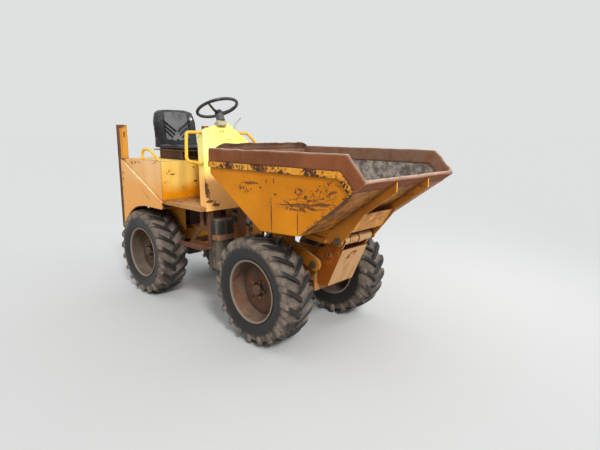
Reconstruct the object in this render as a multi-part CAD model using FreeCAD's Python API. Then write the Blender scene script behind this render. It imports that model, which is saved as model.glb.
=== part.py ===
import FreeCAD, Part
import math
import os
from FreeCAD import Vector

os.makedirs("parts", exist_ok=True)

# Overall plan: X forward to the skip's lip, Y to the driver's left, Z up, ground at zero
wheelbase = 1448.0
front_overhang = 885.0
rear_overhang = 408.0
lip_x = (front_overhang + wheelbase + rear_overhang) / 2
front_axle_x = lip_x - front_overhang
rear_axle_x = front_axle_x - wheelbase
tail_x = -lip_x
pivot_x = (front_axle_x + rear_axle_x) / 2
body_half = 455.0

# Fits and clearances
touch = 0.3
running = 0.05
moving = 6.0

# Tyres and rims
tyre_r = 372.0
tread_r = 335.0
tyre_w = 264.0
tyre_sides = 20
shoulder_in = 8.0
lug_root = 296.0
lug_count = tyre_sides
wheel_in = 48.0
wheel_y = body_half - wheel_in
bead_r = 207.0
bead_w = 196.0
rim_gap = 1.1
rim_flange_r = 216.0
rim_wall = 7.0
rim_disc_y = 14.0
rim_disc_t = 9.0
rim_lip_w = 9.0
rim_dish = 34.0
rim_dish_r = 150.0
rim_dish_step = 6.0
hub_flare = 26.0
hub_out = 12.0
hub_r = 62.0
spindle_r = 30.0
spindle_out = 34.0

# Axles
axle_tube_r = 46.0
axle_head_r = 104.0
axle_head_w = 150.0
axle_head_slope = 20.0
axle_head_step = 26.0
axle_neck = 34.0
axle_flange_r = 74.0
axle_flange_t = 16.0
axle_flange_neck = 30.0
axle_flange_step = 12.0

# Front chassis
rail_y = 150.0
rail_t = 12.0
saddle_w = 150.0
saddle_drop = 10.0
cross_t = 16.0
front_rail_z0 = 424.0
front_rail_z1 = 560.0
front_rail_back = 350.0
front_rail_ahead = 254.0
front_rail_rear = front_axle_x - front_rail_back
front_rail_front = front_axle_x + front_rail_ahead
front_plate_z0 = 352.0
front_plate_t = 12.0
ram_notch_w = 104.0
ram_notch_z = 500.0
post_w = 100.0
post_back = 60.0
post_drop = 60.0
post_rise = 20.0
arm_y = 190.0
arm_t = 24.0
arm_w = 92.0
arm_ahead = 279.0
arm_nose_x = front_axle_x + arm_ahead
arm_nose_z = 553.0
arm_back = 300.0
arm_heel_x = front_axle_x - arm_back
arm_heel_z = 790.0
nose_pin_r = 17.0
nose_pin_out = 16.0
pin_head_t = 10.0
pin_head_out = 6.0

# Pivot between the two frames
king_r = 25.0
yoke_r = 58.0
yoke_z0 = 400.0
yoke_z1 = 560.0
neck_r = 58.0
neck_shaft_r = 32.0
neck_z = 480.0
neck_back = 84.0
neck_shaft_in = 14.0
collar_step = 8.0
fork_t = 22.0
fork_w = 120.0
fork_plate_drop = 104.0
king_out = 8.0

# Skip, its side seen along Y
skip_half = 476.0
skip_wall = 6.0
skip_top_z = 1299.0
skip_knee_z = 1120.0
skip_back = 455.0
heel_ahead = 65.0
heel_z = 788.0
toe_ahead = 400.0
toe_z = 805.0
skip_rear_x = front_axle_x - skip_back
skip_heel = (front_axle_x + heel_ahead, heel_z)
skip_toe = (front_axle_x + toe_ahead, toe_z)
skip_lip_z = 1156.0
skip_chamfer = 134.0
skip_break_x = lip_x - skip_chamfer
extension_h = 92.0
extension_t = 24.0
rim_band_h = 40.0
rim_band_out = 11.0

# Skip hinge and what carries it
hinge_ahead = 462.0
hinge_x = front_axle_x + hinge_ahead
hinge_z = 735.0
hinge_r = 15.0
hinge_tube_r = 32.0
gusset_y = 176.0
gusset_t = 12.0
gusset_back = 377.0
gusset_rear_x = hinge_x - gusset_back
gusset_heel = 40.0
gusset_boss = 34.0
gusset_ahead = 405.0
gusset_top_x = hinge_x + gusset_ahead
gusset_rim = 60.0
gusset_bend_ahead = 192.0
gusset_waist_ahead = 106.0
gusset_waist_z = 820.0
gusset_notch_r = 16.0
gusset_notch_back = 52.0
gusset_notch_drop = 26.0
lever_back = 278.0
lever_ahead = -101.0
lever_drop = 12.0
lever_w = 36.0
lever_t = 12.0
lever_pin_r = 11.0
lever_pin_out = 7.0
gusset_cross_low = (84.0, 65.0)
gusset_cross_high = (170.0, 190.0)
hinge_pin_out = 14.0
hinge_head_t = 8.0
hinge_head_out = 9.0
tower_y = 128.0
tower_t = 12.0
tower_foot_back = 132.0
tower_foot_x = hinge_x - tower_foot_back
tower_foot_z = 402.0
tower_head_back = 10.0
tower_head_x = hinge_x - tower_head_back
tower_head_z = 668.0
tower_deep = 332.0
tower_back_x = hinge_x - tower_deep
tower_waist_back = 243.0
tower_waist_x = hinge_x - tower_waist_back
tower_waist_z = 612.0
tower_neck = 60.0
hinge_tube_out = 8.0
knuckle_ends = [-96.0, -4.0, 52.0]
knuckle_gap = 5.0
knuckle_deep = 6.0
knuckle_rise = 4.0
stop_back = 105.0
stop_z = 622.0
stop_r = 22.0
stop_hole_r = 9.0
stop_t = 12.0
stop_reach = 62.0
stop_lean = 125.0

# Tipping ram
ram_base_ahead = 140.0
ram_base_x = front_axle_x + ram_base_ahead
ram_base_z = 440.0
ram_eye_ahead = 300.0
ram_eye_x = front_axle_x + ram_eye_ahead
ram_eye_z = 740.0
ram_barrel_r = 36.0
ram_rod_r = 20.0
ram_eye_r = 28.0
ram_pin_r = 15.0
ram_eye_w = 44.0
ram_neck = 34.0
ram_gland_l = 26.0
ram_gland_out = 4.0
ram_shut_gap = 78.0
ram_rod_start = 90.0
ram_ear_t = 12.0
ram_ear_drop = 42.0
ram_shelf_back = 30.0
ram_shelf_t = 12.0
ram_top_gap = 9.0
ram_pin_out = 14.0

# Rear frame
rear_rail_z0 = 468.0
rear_rail_z1 = 600.0
rear_rail_gap = 90.0
rear_rail_back = 350.0
rear_rail_front = pivot_x - rear_rail_gap
rear_rail_tail = rear_axle_x - rear_rail_back
tail_plate_t = 16.0
tail_waist_y = 225.0
tail_ends_z = 545.0
upright_depth = 46.0
body_rear_x = tail_x + upright_depth
body_ahead = 288.0
body_front_x = rear_axle_x + body_ahead
body_top_z = 1167.0
sheet = 5.0
fender_proud = 25.0
fender_half = body_half + fender_proud
arch_r = 402.0
well_gap = 25.0
well_y = wheel_y - tyre_w / 2 - well_gap
well_top_z = 788.0
well_foot_drop = 26.0
floor_z = 848.0
floor_nose = 22.0
floor_rim = 26.0
floor_leg_back = 140.0
floor_leg_w = 60.0
fender_nose = 20.0
fender_nose_x = body_front_x + fender_nose
fender_nose_z = 836.0
fender_tail_z = 1163.0
fender_low_z = 780.0
grille_t = 8.0
slot_count = 9
slot_pitch = 44.0
slot_h = 20.0
slot_half = 250.0
slot_first_z = 690.0

# Tow hitch at the tail
hitch_r = 13.0
hitch_t = 14.0
hitch_gap = 50.0
hitch_w = 90.0
hitch_z = 520.0
hitch_reach = 58.0
hitch_back = 32.0
hitch_x = rear_rail_tail - hitch_back

# Roll bar remains
upright_w = 56.0
upright_z0 = 540.0
upright_z1 = 1462.0
socket_depth = 44.0
socket_floor = 20.0
tear_deep = 34.0
slit_w = 9.0
slit_h = 46.0
slit_drop = 62.0

# Engine and cover
engine_l = 470.0
engine_w = 330.0
engine_z1 = 1050.0
cover_margin = 51.0
cover_half = body_half - cover_margin
cover_t = 26.0
cover_rear_gap = 10.0
cover_hinge_x = body_rear_x + cover_rear_gap
ledge_w = 16.0
ledge_t = 5.0

# Bent tube handles
handle_r = 12.5
handle_bend = 32.0
grab_back = 338.0
grab_x = body_front_x - grab_back
grab_l = 330.0
grab_shoulder = 130.0
grab_h = 90.0
grab_bend = 56.0
cowl_grip_z0 = 1165.0
cowl_grip_z1 = 1392.0
cowl_grip_out = 150.0
cowl_grip_in = 70.0
cowl_grip_back = 22.0
cowl_grip_rise = 44.0

# Driver's station
cowl_back = 600.0
cowl_foot_x = front_axle_x - cowl_back
cowl_foot_z = floor_z - floor_rim
cowl_lean = 345.0
cowl_head_x = cowl_foot_x - cowl_lean
cowl_head_z = 1425.0
cowl_foot_in = 35.0
cowl_foot_half = body_half - cowl_foot_in
cowl_head_half = 196.0
cowl_arch = 56.0
cowl_flange = 84.0
cowl_cut_side = 106.0
cowl_cut_half = 172.0
cowl_cut_drop = 38.0
cowl_crown = 88.0
floor_front_x = cowl_foot_x - floor_nose
column_tilt = 24.0
wheel_reach = 55.0
wheel_centre_x = cowl_head_x - wheel_reach
wheel_centre_z = 1600.0
wheel_ring_r = 181.0
wheel_tube_r = 13.0
wheel_dish = 46.0
wheel_hub_r = 30.0
wheel_hub_h = 24.0
wheel_spoke_r = 8.0
column_r = 12.0
column_in = 18.0
column_sleeve_r = 34.0
column_foot = 69.0
binnacle_l = 60.0
binnacle_w = 80.0
binnacle_h = 40.0
binnacle_back = 18.0

# Foot steps
step_behind = 161.0
step_w = 96.0
step_proud = 13.0
step_x1 = floor_front_x
step_x0 = rear_axle_x + tyre_r + step_behind
step_y1 = body_half + step_proud
step_y0 = step_y1 - step_w
step_z = 528.0
step_t = 6.0
step_lip = 34.0
step_back_z = 698.0
step_lean = 164.0
step_frame_w = 34.0
step_strap_w = 40.0
step_arm_gap = 41.0
step_arm_h = 40.0
tread_rows = 2
tread_holes = 8
tread_hole_r = 11.0

# Tank beside the right rail
tank_l = 139.5
tank_ahead = 49.5
tank_in = 28.0
tank_out = 13.0
tank_x1 = cowl_foot_x + tank_ahead
tank_x0 = tank_x1 - tank_l
tank_y1 = -(rail_y + rail_t + tank_in)
tank_y0 = -(step_y0 - tank_out)
tank_z0 = 352.0
tank_z1 = 756.0
tank_round = 30.0
tank_band_t = 4.0
clamp_z = 597.0
clamp_h = 42.0
clamp_out = 3.0
clamp_rivet_r = 9.0
strap_back = 6.0
strap_t = 8.0
hanger_y0 = -95.0
hanger_y1 = -20.0
hanger_drop = 243.0
cross_bar_h = 40.0

# Seat
seat_w = 450.0
seat_l = 552.0
seat_inset = 8.0
seat_front_x = body_front_x - seat_inset
seat_back_x = seat_front_x - seat_l
seat_z0 = body_top_z + touch
cushion_z0 = 1250.0
cushion_z1 = 1305.0
seat_top_z = 1625.0
seat_base_in = 10.0
seat_base_behind = 135.0
seat_pan_t = 8.0
seat_pan_in = 6.0
seat_overhang = 60.0
seat_foot = 34.0
seat_back_t = 62.0
seat_gap = 2.0
seat_bulge = 90.0
seat_bulge_z = 1360.0
seat_head = 12.0
seat_head_t = 40.0
cushion_round = 16.0
cushion_dish = 12.0
back_corner = 110.0


def box(x0, x1, y0, y1, z0, z1):
    return Part.makeBox(x1 - x0, y1 - y0, z1 - z0, Vector(x0, y0, z0))


def slab_xz(points, y0, y1):
    loop = [Vector(x, y0, z) for x, z in points]
    face = Part.Face(Part.makePolygon(loop + loop[:1]))
    return face.extrude(Vector(0, y1 - y0, 0))


def slab_xy(points, z0, z1):
    loop = [Vector(x, y, z0) for x, y in points]
    face = Part.Face(Part.makePolygon(loop + loop[:1]))
    return face.extrude(Vector(0, 0, z1 - z0))


def slab_yz(points, x0, x1):
    loop = [Vector(x0, y, z) for y, z in points]
    face = Part.Face(Part.makePolygon(loop + loop[:1]))
    return face.extrude(Vector(x1 - x0, 0, 0))


def rod(start, end, radius):
    start = Vector(*start)
    axis = Vector(*end) - start
    return Part.makeCylinder(radius, axis.Length, start, axis)


def rod_y(x, z, y0, y1, radius):
    return rod((x, y0, z), (x, y1, z), radius)


def spun_y(profile, x, z):
    """Solid of revolution about the Y line through x, z; the profile holds (radius, y)."""
    loop = [Vector(r, y, 0) for r, y in profile]
    face = Part.Face(Part.makePolygon(loop + loop[:1]))
    solid = face.revolve(Vector(0, 0, 0), Vector(0, 1, 0), 360)
    solid.translate(Vector(x, 0, z))
    return solid


def bent_tube(points, radius, bend):
    """Round tube along straight runs joined by tangent elbows of one radius."""
    points = [Vector(*p) for p in points]
    pieces = []
    start = points[0]
    for before, corner, after in zip(points, points[1:], points[2:]):
        back = (before - corner).normalize()
        ahead = (after - corner).normalize()
        half = back.getAngle(ahead) / 2
        inset = bend / math.tan(half)
        first = corner + back * inset
        last = corner + ahead * inset
        centre = corner + (back + ahead).normalize() * (bend / math.sin(half))
        pieces.append(rod(start, first, radius))
        section = Part.Face(Part.Wire(Part.makeCircle(radius, first, back)))
        axis = ahead.cross(back)
        pieces.append(section.revolve(centre, axis, 180.0 - 2 * math.degrees(half)))
        start = last
    pieces.append(rod(start, points[-1], radius))
    return fused(pieces)


def mirrored(shape):
    return shape.mirror(Vector(0, 0, 0), Vector(0, 1, 0))


def both_sides(shape):
    return Part.makeCompound([shape, mirrored(shape)])


def fused(shapes):
    return shapes[0].multiFuse(shapes[1:])


def save(name, shape):
    solids = shape.Solids
    whole = solids[0] if len(solids) == 1 else Part.makeCompound(solids)
    whole.exportStep("parts/" + name + ".step")


# Tyres
def tyre_carcass():
    """Ring with flat sides all round; each band lies between two rings of corners."""
    shoulder_half = tyre_w / 2 - shoulder_in
    bead_corner_r = bead_r / math.cos(math.pi / tyre_sides)
    # columns: radius, distance from the middle plane
    outer_half = [
        (bead_corner_r, bead_w / 2),
        (tread_r, shoulder_half),
    ]
    rings = [(r, -y) for r, y in outer_half] + [(r, y) for r, y in reversed(outer_half)]
    turn = 2 * math.pi / tyre_sides
    faces = []
    for (r0, y0), (r1, y1) in zip(rings, rings[1:] + rings[:1]):
        for side in range(tyre_sides):
            a0 = side * turn
            a1 = a0 + turn
            loop = [
                Vector(r0 * math.cos(a0), y0, r0 * math.sin(a0)),
                Vector(r1 * math.cos(a0), y1, r1 * math.sin(a0)),
                Vector(r1 * math.cos(a1), y1, r1 * math.sin(a1)),
                Vector(r0 * math.cos(a1), y0, r0 * math.sin(a1)),
            ]
            faces.append(Part.Face(Part.makePolygon(loop + loop[:1])))
    return Part.makeSolid(Part.makeShell(faces))


def tyre_lug(side, angle):
    """Slanting bar of the tread from the middle out to the shoulder, on one side of the tyre."""
    # columns: along the tread, out from the middle plane, half width
    stations = [(60.0, 2.0, 14.0), (-44.0, tyre_w / 2, 17.0)]
    reach = max(abs(u) + w for u, v, w in stations)
    top = math.sqrt(tyre_r ** 2 - reach ** 2)
    near = [(u - w, side * v) for u, v, w in stations]
    far = [(u + w, side * v) for u, v, w in reversed(stations)]
    lug = slab_xy(near + far, lug_root, top)
    lug.rotate(Vector(0, 0, 0), Vector(0, 1, 0), angle)
    return lug


def tyre_at_origin():
    pitch = 360.0 / lug_count
    lugs = [tyre_lug(1, pitch * i) for i in range(lug_count)]
    lugs += [tyre_lug(-1, pitch * (i + 0.5)) for i in range(lug_count)]
    tyre = tyre_carcass().multiFuse(lugs)
    tyre.rotate(Vector(0, 0, 0), Vector(0, 1, 0), pitch / 4 + 3.0)
    return tyre


def rim_at_origin():
    """Left rim: outer barrel with flanges and a dished disc with a hub bored for the spindle."""
    barrel = bead_r - rim_gap
    inner = barrel - rim_wall
    shoulder_half = tyre_w / 2 - shoulder_in
    flat_r = tread_r * math.cos(math.pi / tyre_sides)
    flare = (shoulder_half - bead_w / 2) / (flat_r - bead_r)
    edge = bead_w / 2 + flare * (rim_flange_r - bead_r) + touch
    lip = edge + rim_lip_w
    disc0 = rim_disc_y
    disc1 = rim_disc_y + rim_disc_t
    foot = disc1 + hub_out
    bore = spindle_r + running
    profile = [
        (barrel, -edge), (rim_flange_r, -edge), (rim_flange_r, -lip), (inner, -lip),
        (inner, disc0 - rim_dish), (rim_dish_r, disc0 - rim_dish_step), (hub_r + hub_flare, disc0),
        (bore, disc0), (bore, foot), (hub_r, foot), (hub_r, disc1), (hub_r + hub_flare, disc1),
        (rim_dish_r + rim_dish_step, disc1 - rim_dish_step), (inner, disc1 - rim_dish), (inner, lip),
        (rim_flange_r, lip),
        (rim_flange_r, edge), (barrel, edge),
    ]
    return spun_y(profile, 0, 0)


tyre_shape = tyre_at_origin()
axle_z = -tyre_shape.BoundBox.ZMin
rim_shape = rim_at_origin()
# columns: name, axle position, side of the machine
wheel_table = [
    ("front_left", front_axle_x, 1), ("front_right", front_axle_x, -1),
    ("rear_left", rear_axle_x, 1), ("rear_right", rear_axle_x, -1),
]
for name, axle_x, side in wheel_table:
    place = Vector(axle_x, side * wheel_y, axle_z)
    tyre = tyre_shape.copy() if side > 0 else mirrored(tyre_shape)
    rim = rim_shape.copy() if side > 0 else mirrored(rim_shape)
    tyre.translate(place)
    rim.translate(place)
    save("tyre_" + name, tyre)
    save("rim_" + name, rim)


# Axles
def axle(x):
    face = wheel_y + rim_disc_y - touch
    head = axle_head_w / 2
    # columns: radius, y, from the middle outwards
    half = [
        (axle_head_r, 0.0), (axle_head_r, head - axle_head_slope), (axle_head_r - axle_head_step, head),
        (axle_tube_r, head + axle_neck), (axle_tube_r, face - axle_flange_t - axle_flange_neck),
        (axle_flange_r - axle_flange_step, face - axle_flange_t), (axle_flange_r, face - axle_flange_t),
        (axle_flange_r, face), (spindle_r, face), (spindle_r, face + spindle_out), (0.0, face + spindle_out),
    ]
    profile = half[1:] + [(r, -y) for r, y in reversed(half[1:])]
    return spun_y(profile, x, axle_z)


save("front_axle", axle(front_axle_x))
save("rear_axle", axle(rear_axle_x))


# Front frame
def rail_with_saddle(x0, x1, z0, z1, arch_x):
    """Side plates of a frame, each with a saddle over the axle tube."""
    y0 = rail_y
    y1 = rail_y + rail_t
    plate = box(x0, x1, y0, y1, z0, z1)
    saddle = box(arch_x - saddle_w / 2, arch_x + saddle_w / 2, y0, y1, axle_z - saddle_drop, z0)
    plate = fused([plate, saddle]).cut(rod_y(arch_x, axle_z, y0 - 1, y1 + 1, axle_tube_r + touch))
    return [plate, mirrored(plate)]


def front_chassis():
    z0 = front_rail_z0
    z1 = front_rail_z1
    parts = rail_with_saddle(front_rail_rear, front_rail_front, z0, z1, front_axle_x)
    parts.append(box(front_rail_rear, front_rail_rear + cross_t, -rail_y, rail_y, z0, z1))
    nose = box(front_rail_front - front_plate_t, front_rail_front, -rail_y - rail_t, rail_y + rail_t,
               front_plate_z0, z1)
    notch = box(front_rail_front - front_plate_t, front_rail_front, -ram_notch_w / 2, ram_notch_w / 2,
                ram_notch_z, z1)
    parts.append(nose.cut(notch))
    neck_end = pivot_x + neck_back
    parts.append(rod((neck_end, 0, neck_z), (front_rail_rear + cross_t / 2, 0, neck_z), neck_r))
    post0 = arm_heel_x - post_back
    post = box(post0, post0 + post_w, rail_y, arm_y - arm_t / 2, z1 - post_drop, arm_heel_z + post_rise)
    parts += [post, mirrored(post)]
    shelf_z = ram_base_z - ram_ear_drop
    parts.append(box(ram_base_x - ram_shelf_back, front_rail_front, -rail_y, rail_y,
                     shelf_z - ram_shelf_t, shelf_z))
    ear0 = ram_eye_w / 2 + touch
    ear_foot = slab_xz([
        (ram_base_x - ram_eye_r, shelf_z), (ram_base_x + ram_eye_r, shelf_z),
        (ram_base_x + ram_eye_r, ram_base_z), (ram_base_x - ram_eye_r, ram_base_z),
    ], ear0, ear0 + ram_ear_t)
    ear = fused([ear_foot, rod_y(ram_base_x, ram_base_z, ear0, ear0 + ram_ear_t, ram_eye_r)])
    parts += [ear, mirrored(ear)]
    bore = rod((neck_end - 1, 0, neck_z), (front_rail_rear + cross_t + 1, 0, neck_z), neck_shaft_r + running)
    pin_hole = rod_y(ram_base_x, ram_base_z, -rail_y, rail_y, ram_pin_r + running)
    return fused(parts).cut(bore).cut(pin_hole)


def arm_plate(side):
    """Flat arm with a round nose, bored for the tower's cross pin."""
    slope = math.atan2(arm_heel_z - arm_nose_z, arm_heel_x - arm_nose_x)
    dx = -math.sin(slope) * arm_w / 2
    dz = math.cos(slope) * arm_w / 2
    y0 = arm_y - arm_t / 2
    y1 = arm_y + arm_t / 2
    strip = slab_xz([
        (arm_nose_x + dx, arm_nose_z + dz), (arm_heel_x + dx, arm_heel_z + dz),
        (arm_heel_x - dx, arm_heel_z - dz), (arm_nose_x - dx, arm_nose_z - dz),
    ], y0, y1)
    nose = rod_y(arm_nose_x, arm_nose_z, y0, y1, arm_w / 2)
    heel = rod_y(arm_heel_x, arm_heel_z, y0, y1, arm_w / 2)
    plate = fused([strip, nose, heel])
    plate = plate.cut(rod_y(arm_nose_x, arm_nose_z, y0 - 1, y1 + 1, nose_pin_r))
    return plate if side > 0 else mirrored(plate)


def nose_pins():
    start = tower_y + tower_t / 2 + touch
    end = arm_y + arm_t / 2 + nose_pin_out
    shank = rod_y(arm_nose_x, arm_nose_z, start, end, nose_pin_r)
    head = rod_y(arm_nose_x, arm_nose_z, end - pin_head_t, end, nose_pin_r + pin_head_out)
    return both_sides(fused([shank, head]))


def hinge_tube(half):
    """Tube of the skip's hinge: knuckles parted by grooves, one of them thicker."""
    starts = [-half] + [y + knuckle_gap for y in knuckle_ends]
    ends = knuckle_ends + [half]
    rises = [0.0, 0.0, knuckle_rise, 0.0]
    core = rod_y(hinge_x, hinge_z, -half, half, hinge_tube_r - knuckle_deep)
    knuckles = []
    for y0, y1, rise in zip(starts, ends, rises):
        knuckles.append(rod_y(hinge_x, hinge_z, y0, y1, hinge_tube_r + rise))
    return fused([core] + knuckles)


def stop_lug(y0):
    """Pierced lug on the cheek's outside on a slanting foot."""
    x = hinge_x - stop_back
    y1 = y0 + stop_t
    lean = math.radians(stop_lean)
    foot_x = x + stop_reach * math.cos(lean)
    foot_z = stop_z + stop_reach * math.sin(lean)
    across = Vector(math.sin(lean), 0, -math.cos(lean)) * stop_r
    foot = slab_xz([
        (x + across.x, stop_z + across.z), (foot_x + across.x, foot_z + across.z),
        (foot_x - across.x, foot_z - across.z), (x - across.x, stop_z - across.z),
    ], y0, y1)
    lug = fused([foot, rod_y(x, stop_z, y0, y1, stop_r)])
    return lug.cut(rod_y(x, stop_z, y0, y1, stop_hole_r))


def tower():
    """Leaning box of two cheeks and a front plate under the skip's hinge tube."""
    y0 = tower_y - tower_t / 2
    y1 = tower_y + tower_t / 2
    seat_z = front_rail_z1 + touch
    cheek = slab_xz([
        (tower_foot_x, tower_foot_z), (tower_head_x, tower_head_z), (hinge_x + hinge_tube_r, hinge_z),
        (hinge_x, hinge_z + hinge_tube_r), (hinge_x - tower_neck, hinge_z),
        (tower_waist_x, tower_waist_z), (tower_back_x, seat_z),
        (front_rail_front + touch, seat_z), (front_rail_front + touch, tower_foot_z),
    ], y0, y1)
    lean = math.atan2(tower_head_x - tower_foot_x, tower_head_z - tower_foot_z)
    thick = tower_t / math.cos(lean)
    front = slab_xz([
        (tower_foot_x, tower_foot_z), (tower_foot_x + thick, tower_foot_z),
        (tower_head_x + thick, tower_head_z), (tower_head_x, tower_head_z),
    ], -y1, y1)
    half = y1 + hinge_tube_out
    body = fused([cheek, mirrored(cheek), front, hinge_tube(half), stop_lug(y1), mirrored(stop_lug(y1))])
    return body.cut(rod_y(hinge_x, hinge_z, -half - 1, half + 1, hinge_r + running))


save("front_chassis", front_chassis())
save("chassis_arms", Part.makeCompound([arm_plate(1), arm_plate(-1)]))
save("nose_pins", nose_pins())
save("front_tower", tower())


# Centre pivot
def pivot_yoke():
    """Upright barrel on the king pin with a shaft forward for the frames' roll."""
    barrel = rod((pivot_x, 0, yoke_z0), (pivot_x, 0, yoke_z1), yoke_r)
    shaft_end = front_rail_rear + neck_shaft_in
    shaft = rod((pivot_x, 0, neck_z), (shaft_end, 0, neck_z), neck_shaft_r)
    collar = rod((pivot_x, 0, neck_z), (pivot_x + neck_back - touch, 0, neck_z), neck_r - collar_step)
    body = fused([barrel, shaft, collar])
    return body.cut(rod((pivot_x, 0, yoke_z0 - 1), (pivot_x, 0, yoke_z1 + 1), king_r + running))


save("pivot_yoke", pivot_yoke())


def king_pin():
    low = yoke_z0 - fork_t - king_out
    high = yoke_z1 + fork_t + king_out
    return rod((pivot_x, 0, low), (pivot_x, 0, high), king_r)


save("king_pin", king_pin())


# Rear frame
def tow_hitch():
    """Two short plates behind the tail with an upright hole for a tow pin."""
    plates = []
    for z0 in (hitch_z - hitch_gap / 2 - hitch_t, hitch_z + hitch_gap / 2):
        plate = box(rear_rail_tail - hitch_reach, rear_rail_tail, -hitch_w / 2, hitch_w / 2, z0, z0 + hitch_t)
        hole = rod((hitch_x, 0, z0 - 1), (hitch_x, 0, z0 + hitch_t + 1), hitch_r)
        plates.append(plate.cut(hole))
    return plates


def rear_chassis():
    front = rear_rail_front
    tail = rear_rail_tail
    parts = rail_with_saddle(tail, front, rear_rail_z0, rear_rail_z1, rear_axle_x)
    parts.append(box(front - cross_t, front, -rail_y, rail_y, rear_rail_z0 - fork_plate_drop, rear_rail_z1))
    # tail plate: full width above the tyres, narrow between them
    half = [
        (tail_waist_y, rear_rail_z0), (well_y, tail_ends_z), (body_half, tail_ends_z),
        (body_half, rear_rail_z1),
    ]
    plate = half + [(-y, z) for y, z in reversed(half)]
    parts.append(slab_yz(plate, tail, tail + tail_plate_t))
    for z0 in (yoke_z0 - touch - fork_t, yoke_z1 + touch):
        plate = box(front, pivot_x, -fork_w / 2, fork_w / 2, z0, z0 + fork_t)
        parts.append(fused([plate, rod((pivot_x, 0, z0), (pivot_x, 0, z0 + fork_t), fork_w / 2)]))
    pin_hole = rod((pivot_x, 0, rear_rail_z0 - fork_plate_drop), (pivot_x, 0, rear_rail_z1), king_r + touch)
    return fused(parts + tow_hitch()).cut(pin_hole)


save("rear_chassis", rear_chassis())


def engine():
    x0 = rear_axle_x - engine_l / 2
    return box(x0, x0 + engine_l, -engine_w / 2, engine_w / 2, rear_rail_z1 + touch, engine_z1)


save("engine", engine())


def wheel_well():
    """Inner wall and roof of the wheel arch, between the chassis and the body side."""
    x0 = rear_rail_tail + tail_plate_t + touch
    foot_z = rear_rail_z1 - well_foot_drop
    wall = box(x0, body_front_x, well_y - sheet, well_y, foot_z, well_top_z)
    roof = box(x0, body_front_x, well_y - sheet, body_half - touch, well_top_z - sheet, well_top_z)
    foot = box(x0, body_front_x, rail_y + rail_t + touch, well_y, foot_z, foot_z + sheet)
    return both_sides(fused([wall, roof, foot]))


save("wheel_wells", wheel_well())


def body_side():
    """Side of the engine housing, recessed behind the fender plate."""
    outline = [(body_rear_x, well_top_z), (body_rear_x, body_top_z),
               (body_front_x, body_top_z), (body_front_x, well_top_z)]
    return both_sides(slab_xz(outline, body_half, body_half + sheet))


save("body_sides", body_side())


def fender():
    """Proud side plate with a sloping top edge and a round arch over the rear tyre."""
    y0 = body_half + sheet + touch
    arch = rod_y(rear_axle_x, axle_z, y0 - 1, fender_half + 1, arch_r)
    plate = slab_xz([
        (body_rear_x, upright_z0), (body_rear_x, fender_tail_z), (fender_nose_x, fender_nose_z),
        (fender_nose_x, fender_low_z), (rear_axle_x, fender_low_z), (rear_axle_x, upright_z0),
    ], fender_half - sheet, fender_half)
    plate = plate.cut(arch)
    slope = math.atan2(fender_nose_z - fender_tail_z, fender_nose_x - body_rear_x)
    dx = math.sin(slope) * sheet
    dz = -math.cos(slope) * sheet
    edge = slab_xz([
        (body_rear_x, fender_tail_z), (fender_nose_x, fender_nose_z),
        (fender_nose_x + dx, fender_nose_z + dz), (body_rear_x + dx, fender_tail_z + dz),
    ], y0, fender_half)
    hoop = rod_y(rear_axle_x, axle_z, y0, fender_half, arch_r + sheet).cut(arch)
    keep = box(body_rear_x, rear_axle_x, y0, fender_half, upright_z0, well_top_z)
    edge = edge.common(box(body_rear_x, fender_nose_x, y0, fender_half, upright_z0, body_top_z))
    return both_sides(fused([plate, edge, hoop.common(keep)]))


save("fenders", fender())


def seat_box_front():
    """Front of the seat box, from the floor up."""
    x0 = body_front_x + touch
    return box(x0, x0 + sheet, -body_half, body_half, floor_z + touch, body_top_z)


save("seat_box_front", seat_box_front())


def rear_grille():
    """Rear wall with cooling slots between the two uprights."""
    half = body_half - touch
    x1 = body_rear_x + grille_t
    top = body_top_z - cover_t - ledge_t - 2 * touch
    wall = box(body_rear_x, x1, -half, half, rear_rail_z1 + touch, top)
    slots = []
    for i in range(slot_count):
        z0 = slot_first_z + i * slot_pitch
        slots.append(box(body_rear_x, x1, -slot_half, slot_half, z0, z0 + slot_h))
    return wall.cut(Part.makeCompound(slots))


save("rear_grille", rear_grille())


def uprights():
    """Rusty legs of the roll bar at the rear corners, cut off above the body."""
    leg = box(body_rear_x - upright_depth, body_rear_x - touch, fender_half - upright_w, fender_half,
              upright_z0, upright_z1)
    return both_sides(leg)


save("rollbar_uprights", uprights())


def sockets():
    """Painted plates round the roll bar's stumps on top of the body."""
    x1 = body_rear_x + socket_depth
    y0 = fender_half - upright_w
    y1 = fender_half - sheet
    z0 = body_top_z + touch
    block = box(body_rear_x, x1, y0, y1, z0, upright_z1)
    hollow = box(body_rear_x + sheet, x1 - sheet, y0 + sheet, y1 - sheet, z0 + socket_floor, upright_z1)
    top = upright_z1
    # torn edge: share of the way outward, share of the tear's depth
    edge = [(0.0, 0.0), (0.1, 0.2), (0.3, 0.6), (0.5, 0.35), (0.65, 0.8), (1.0, 1.0), (1.0, 0.0)]
    tear = slab_yz([(y0 + u * (y1 - y0), top - v * tear_deep) for u, v in edge], body_rear_x, x1)
    slit_y = (y0 + y1) / 2
    slit = box(x1 - sheet, x1, slit_y, slit_y + slit_w, top - slit_drop - slit_h, top - slit_drop)
    return both_sides(block.cut(hollow).cut(tear).cut(slit))


save("rollbar_sockets", sockets())


def engine_cover():
    """Lid over the engine that carries the seat and hinges at the rear edge."""
    x0 = cover_hinge_x
    x1 = body_front_x - moving
    z1 = body_top_z
    lid = box(x0, x1, -cover_half, cover_half, z1 - cover_t, z1)
    hollow = box(x0 + sheet, x1 - sheet, -cover_half + sheet, cover_half - sheet, z1 - cover_t, z1 - sheet)
    return lid.cut(hollow)


save("engine_cover", engine_cover())


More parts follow.
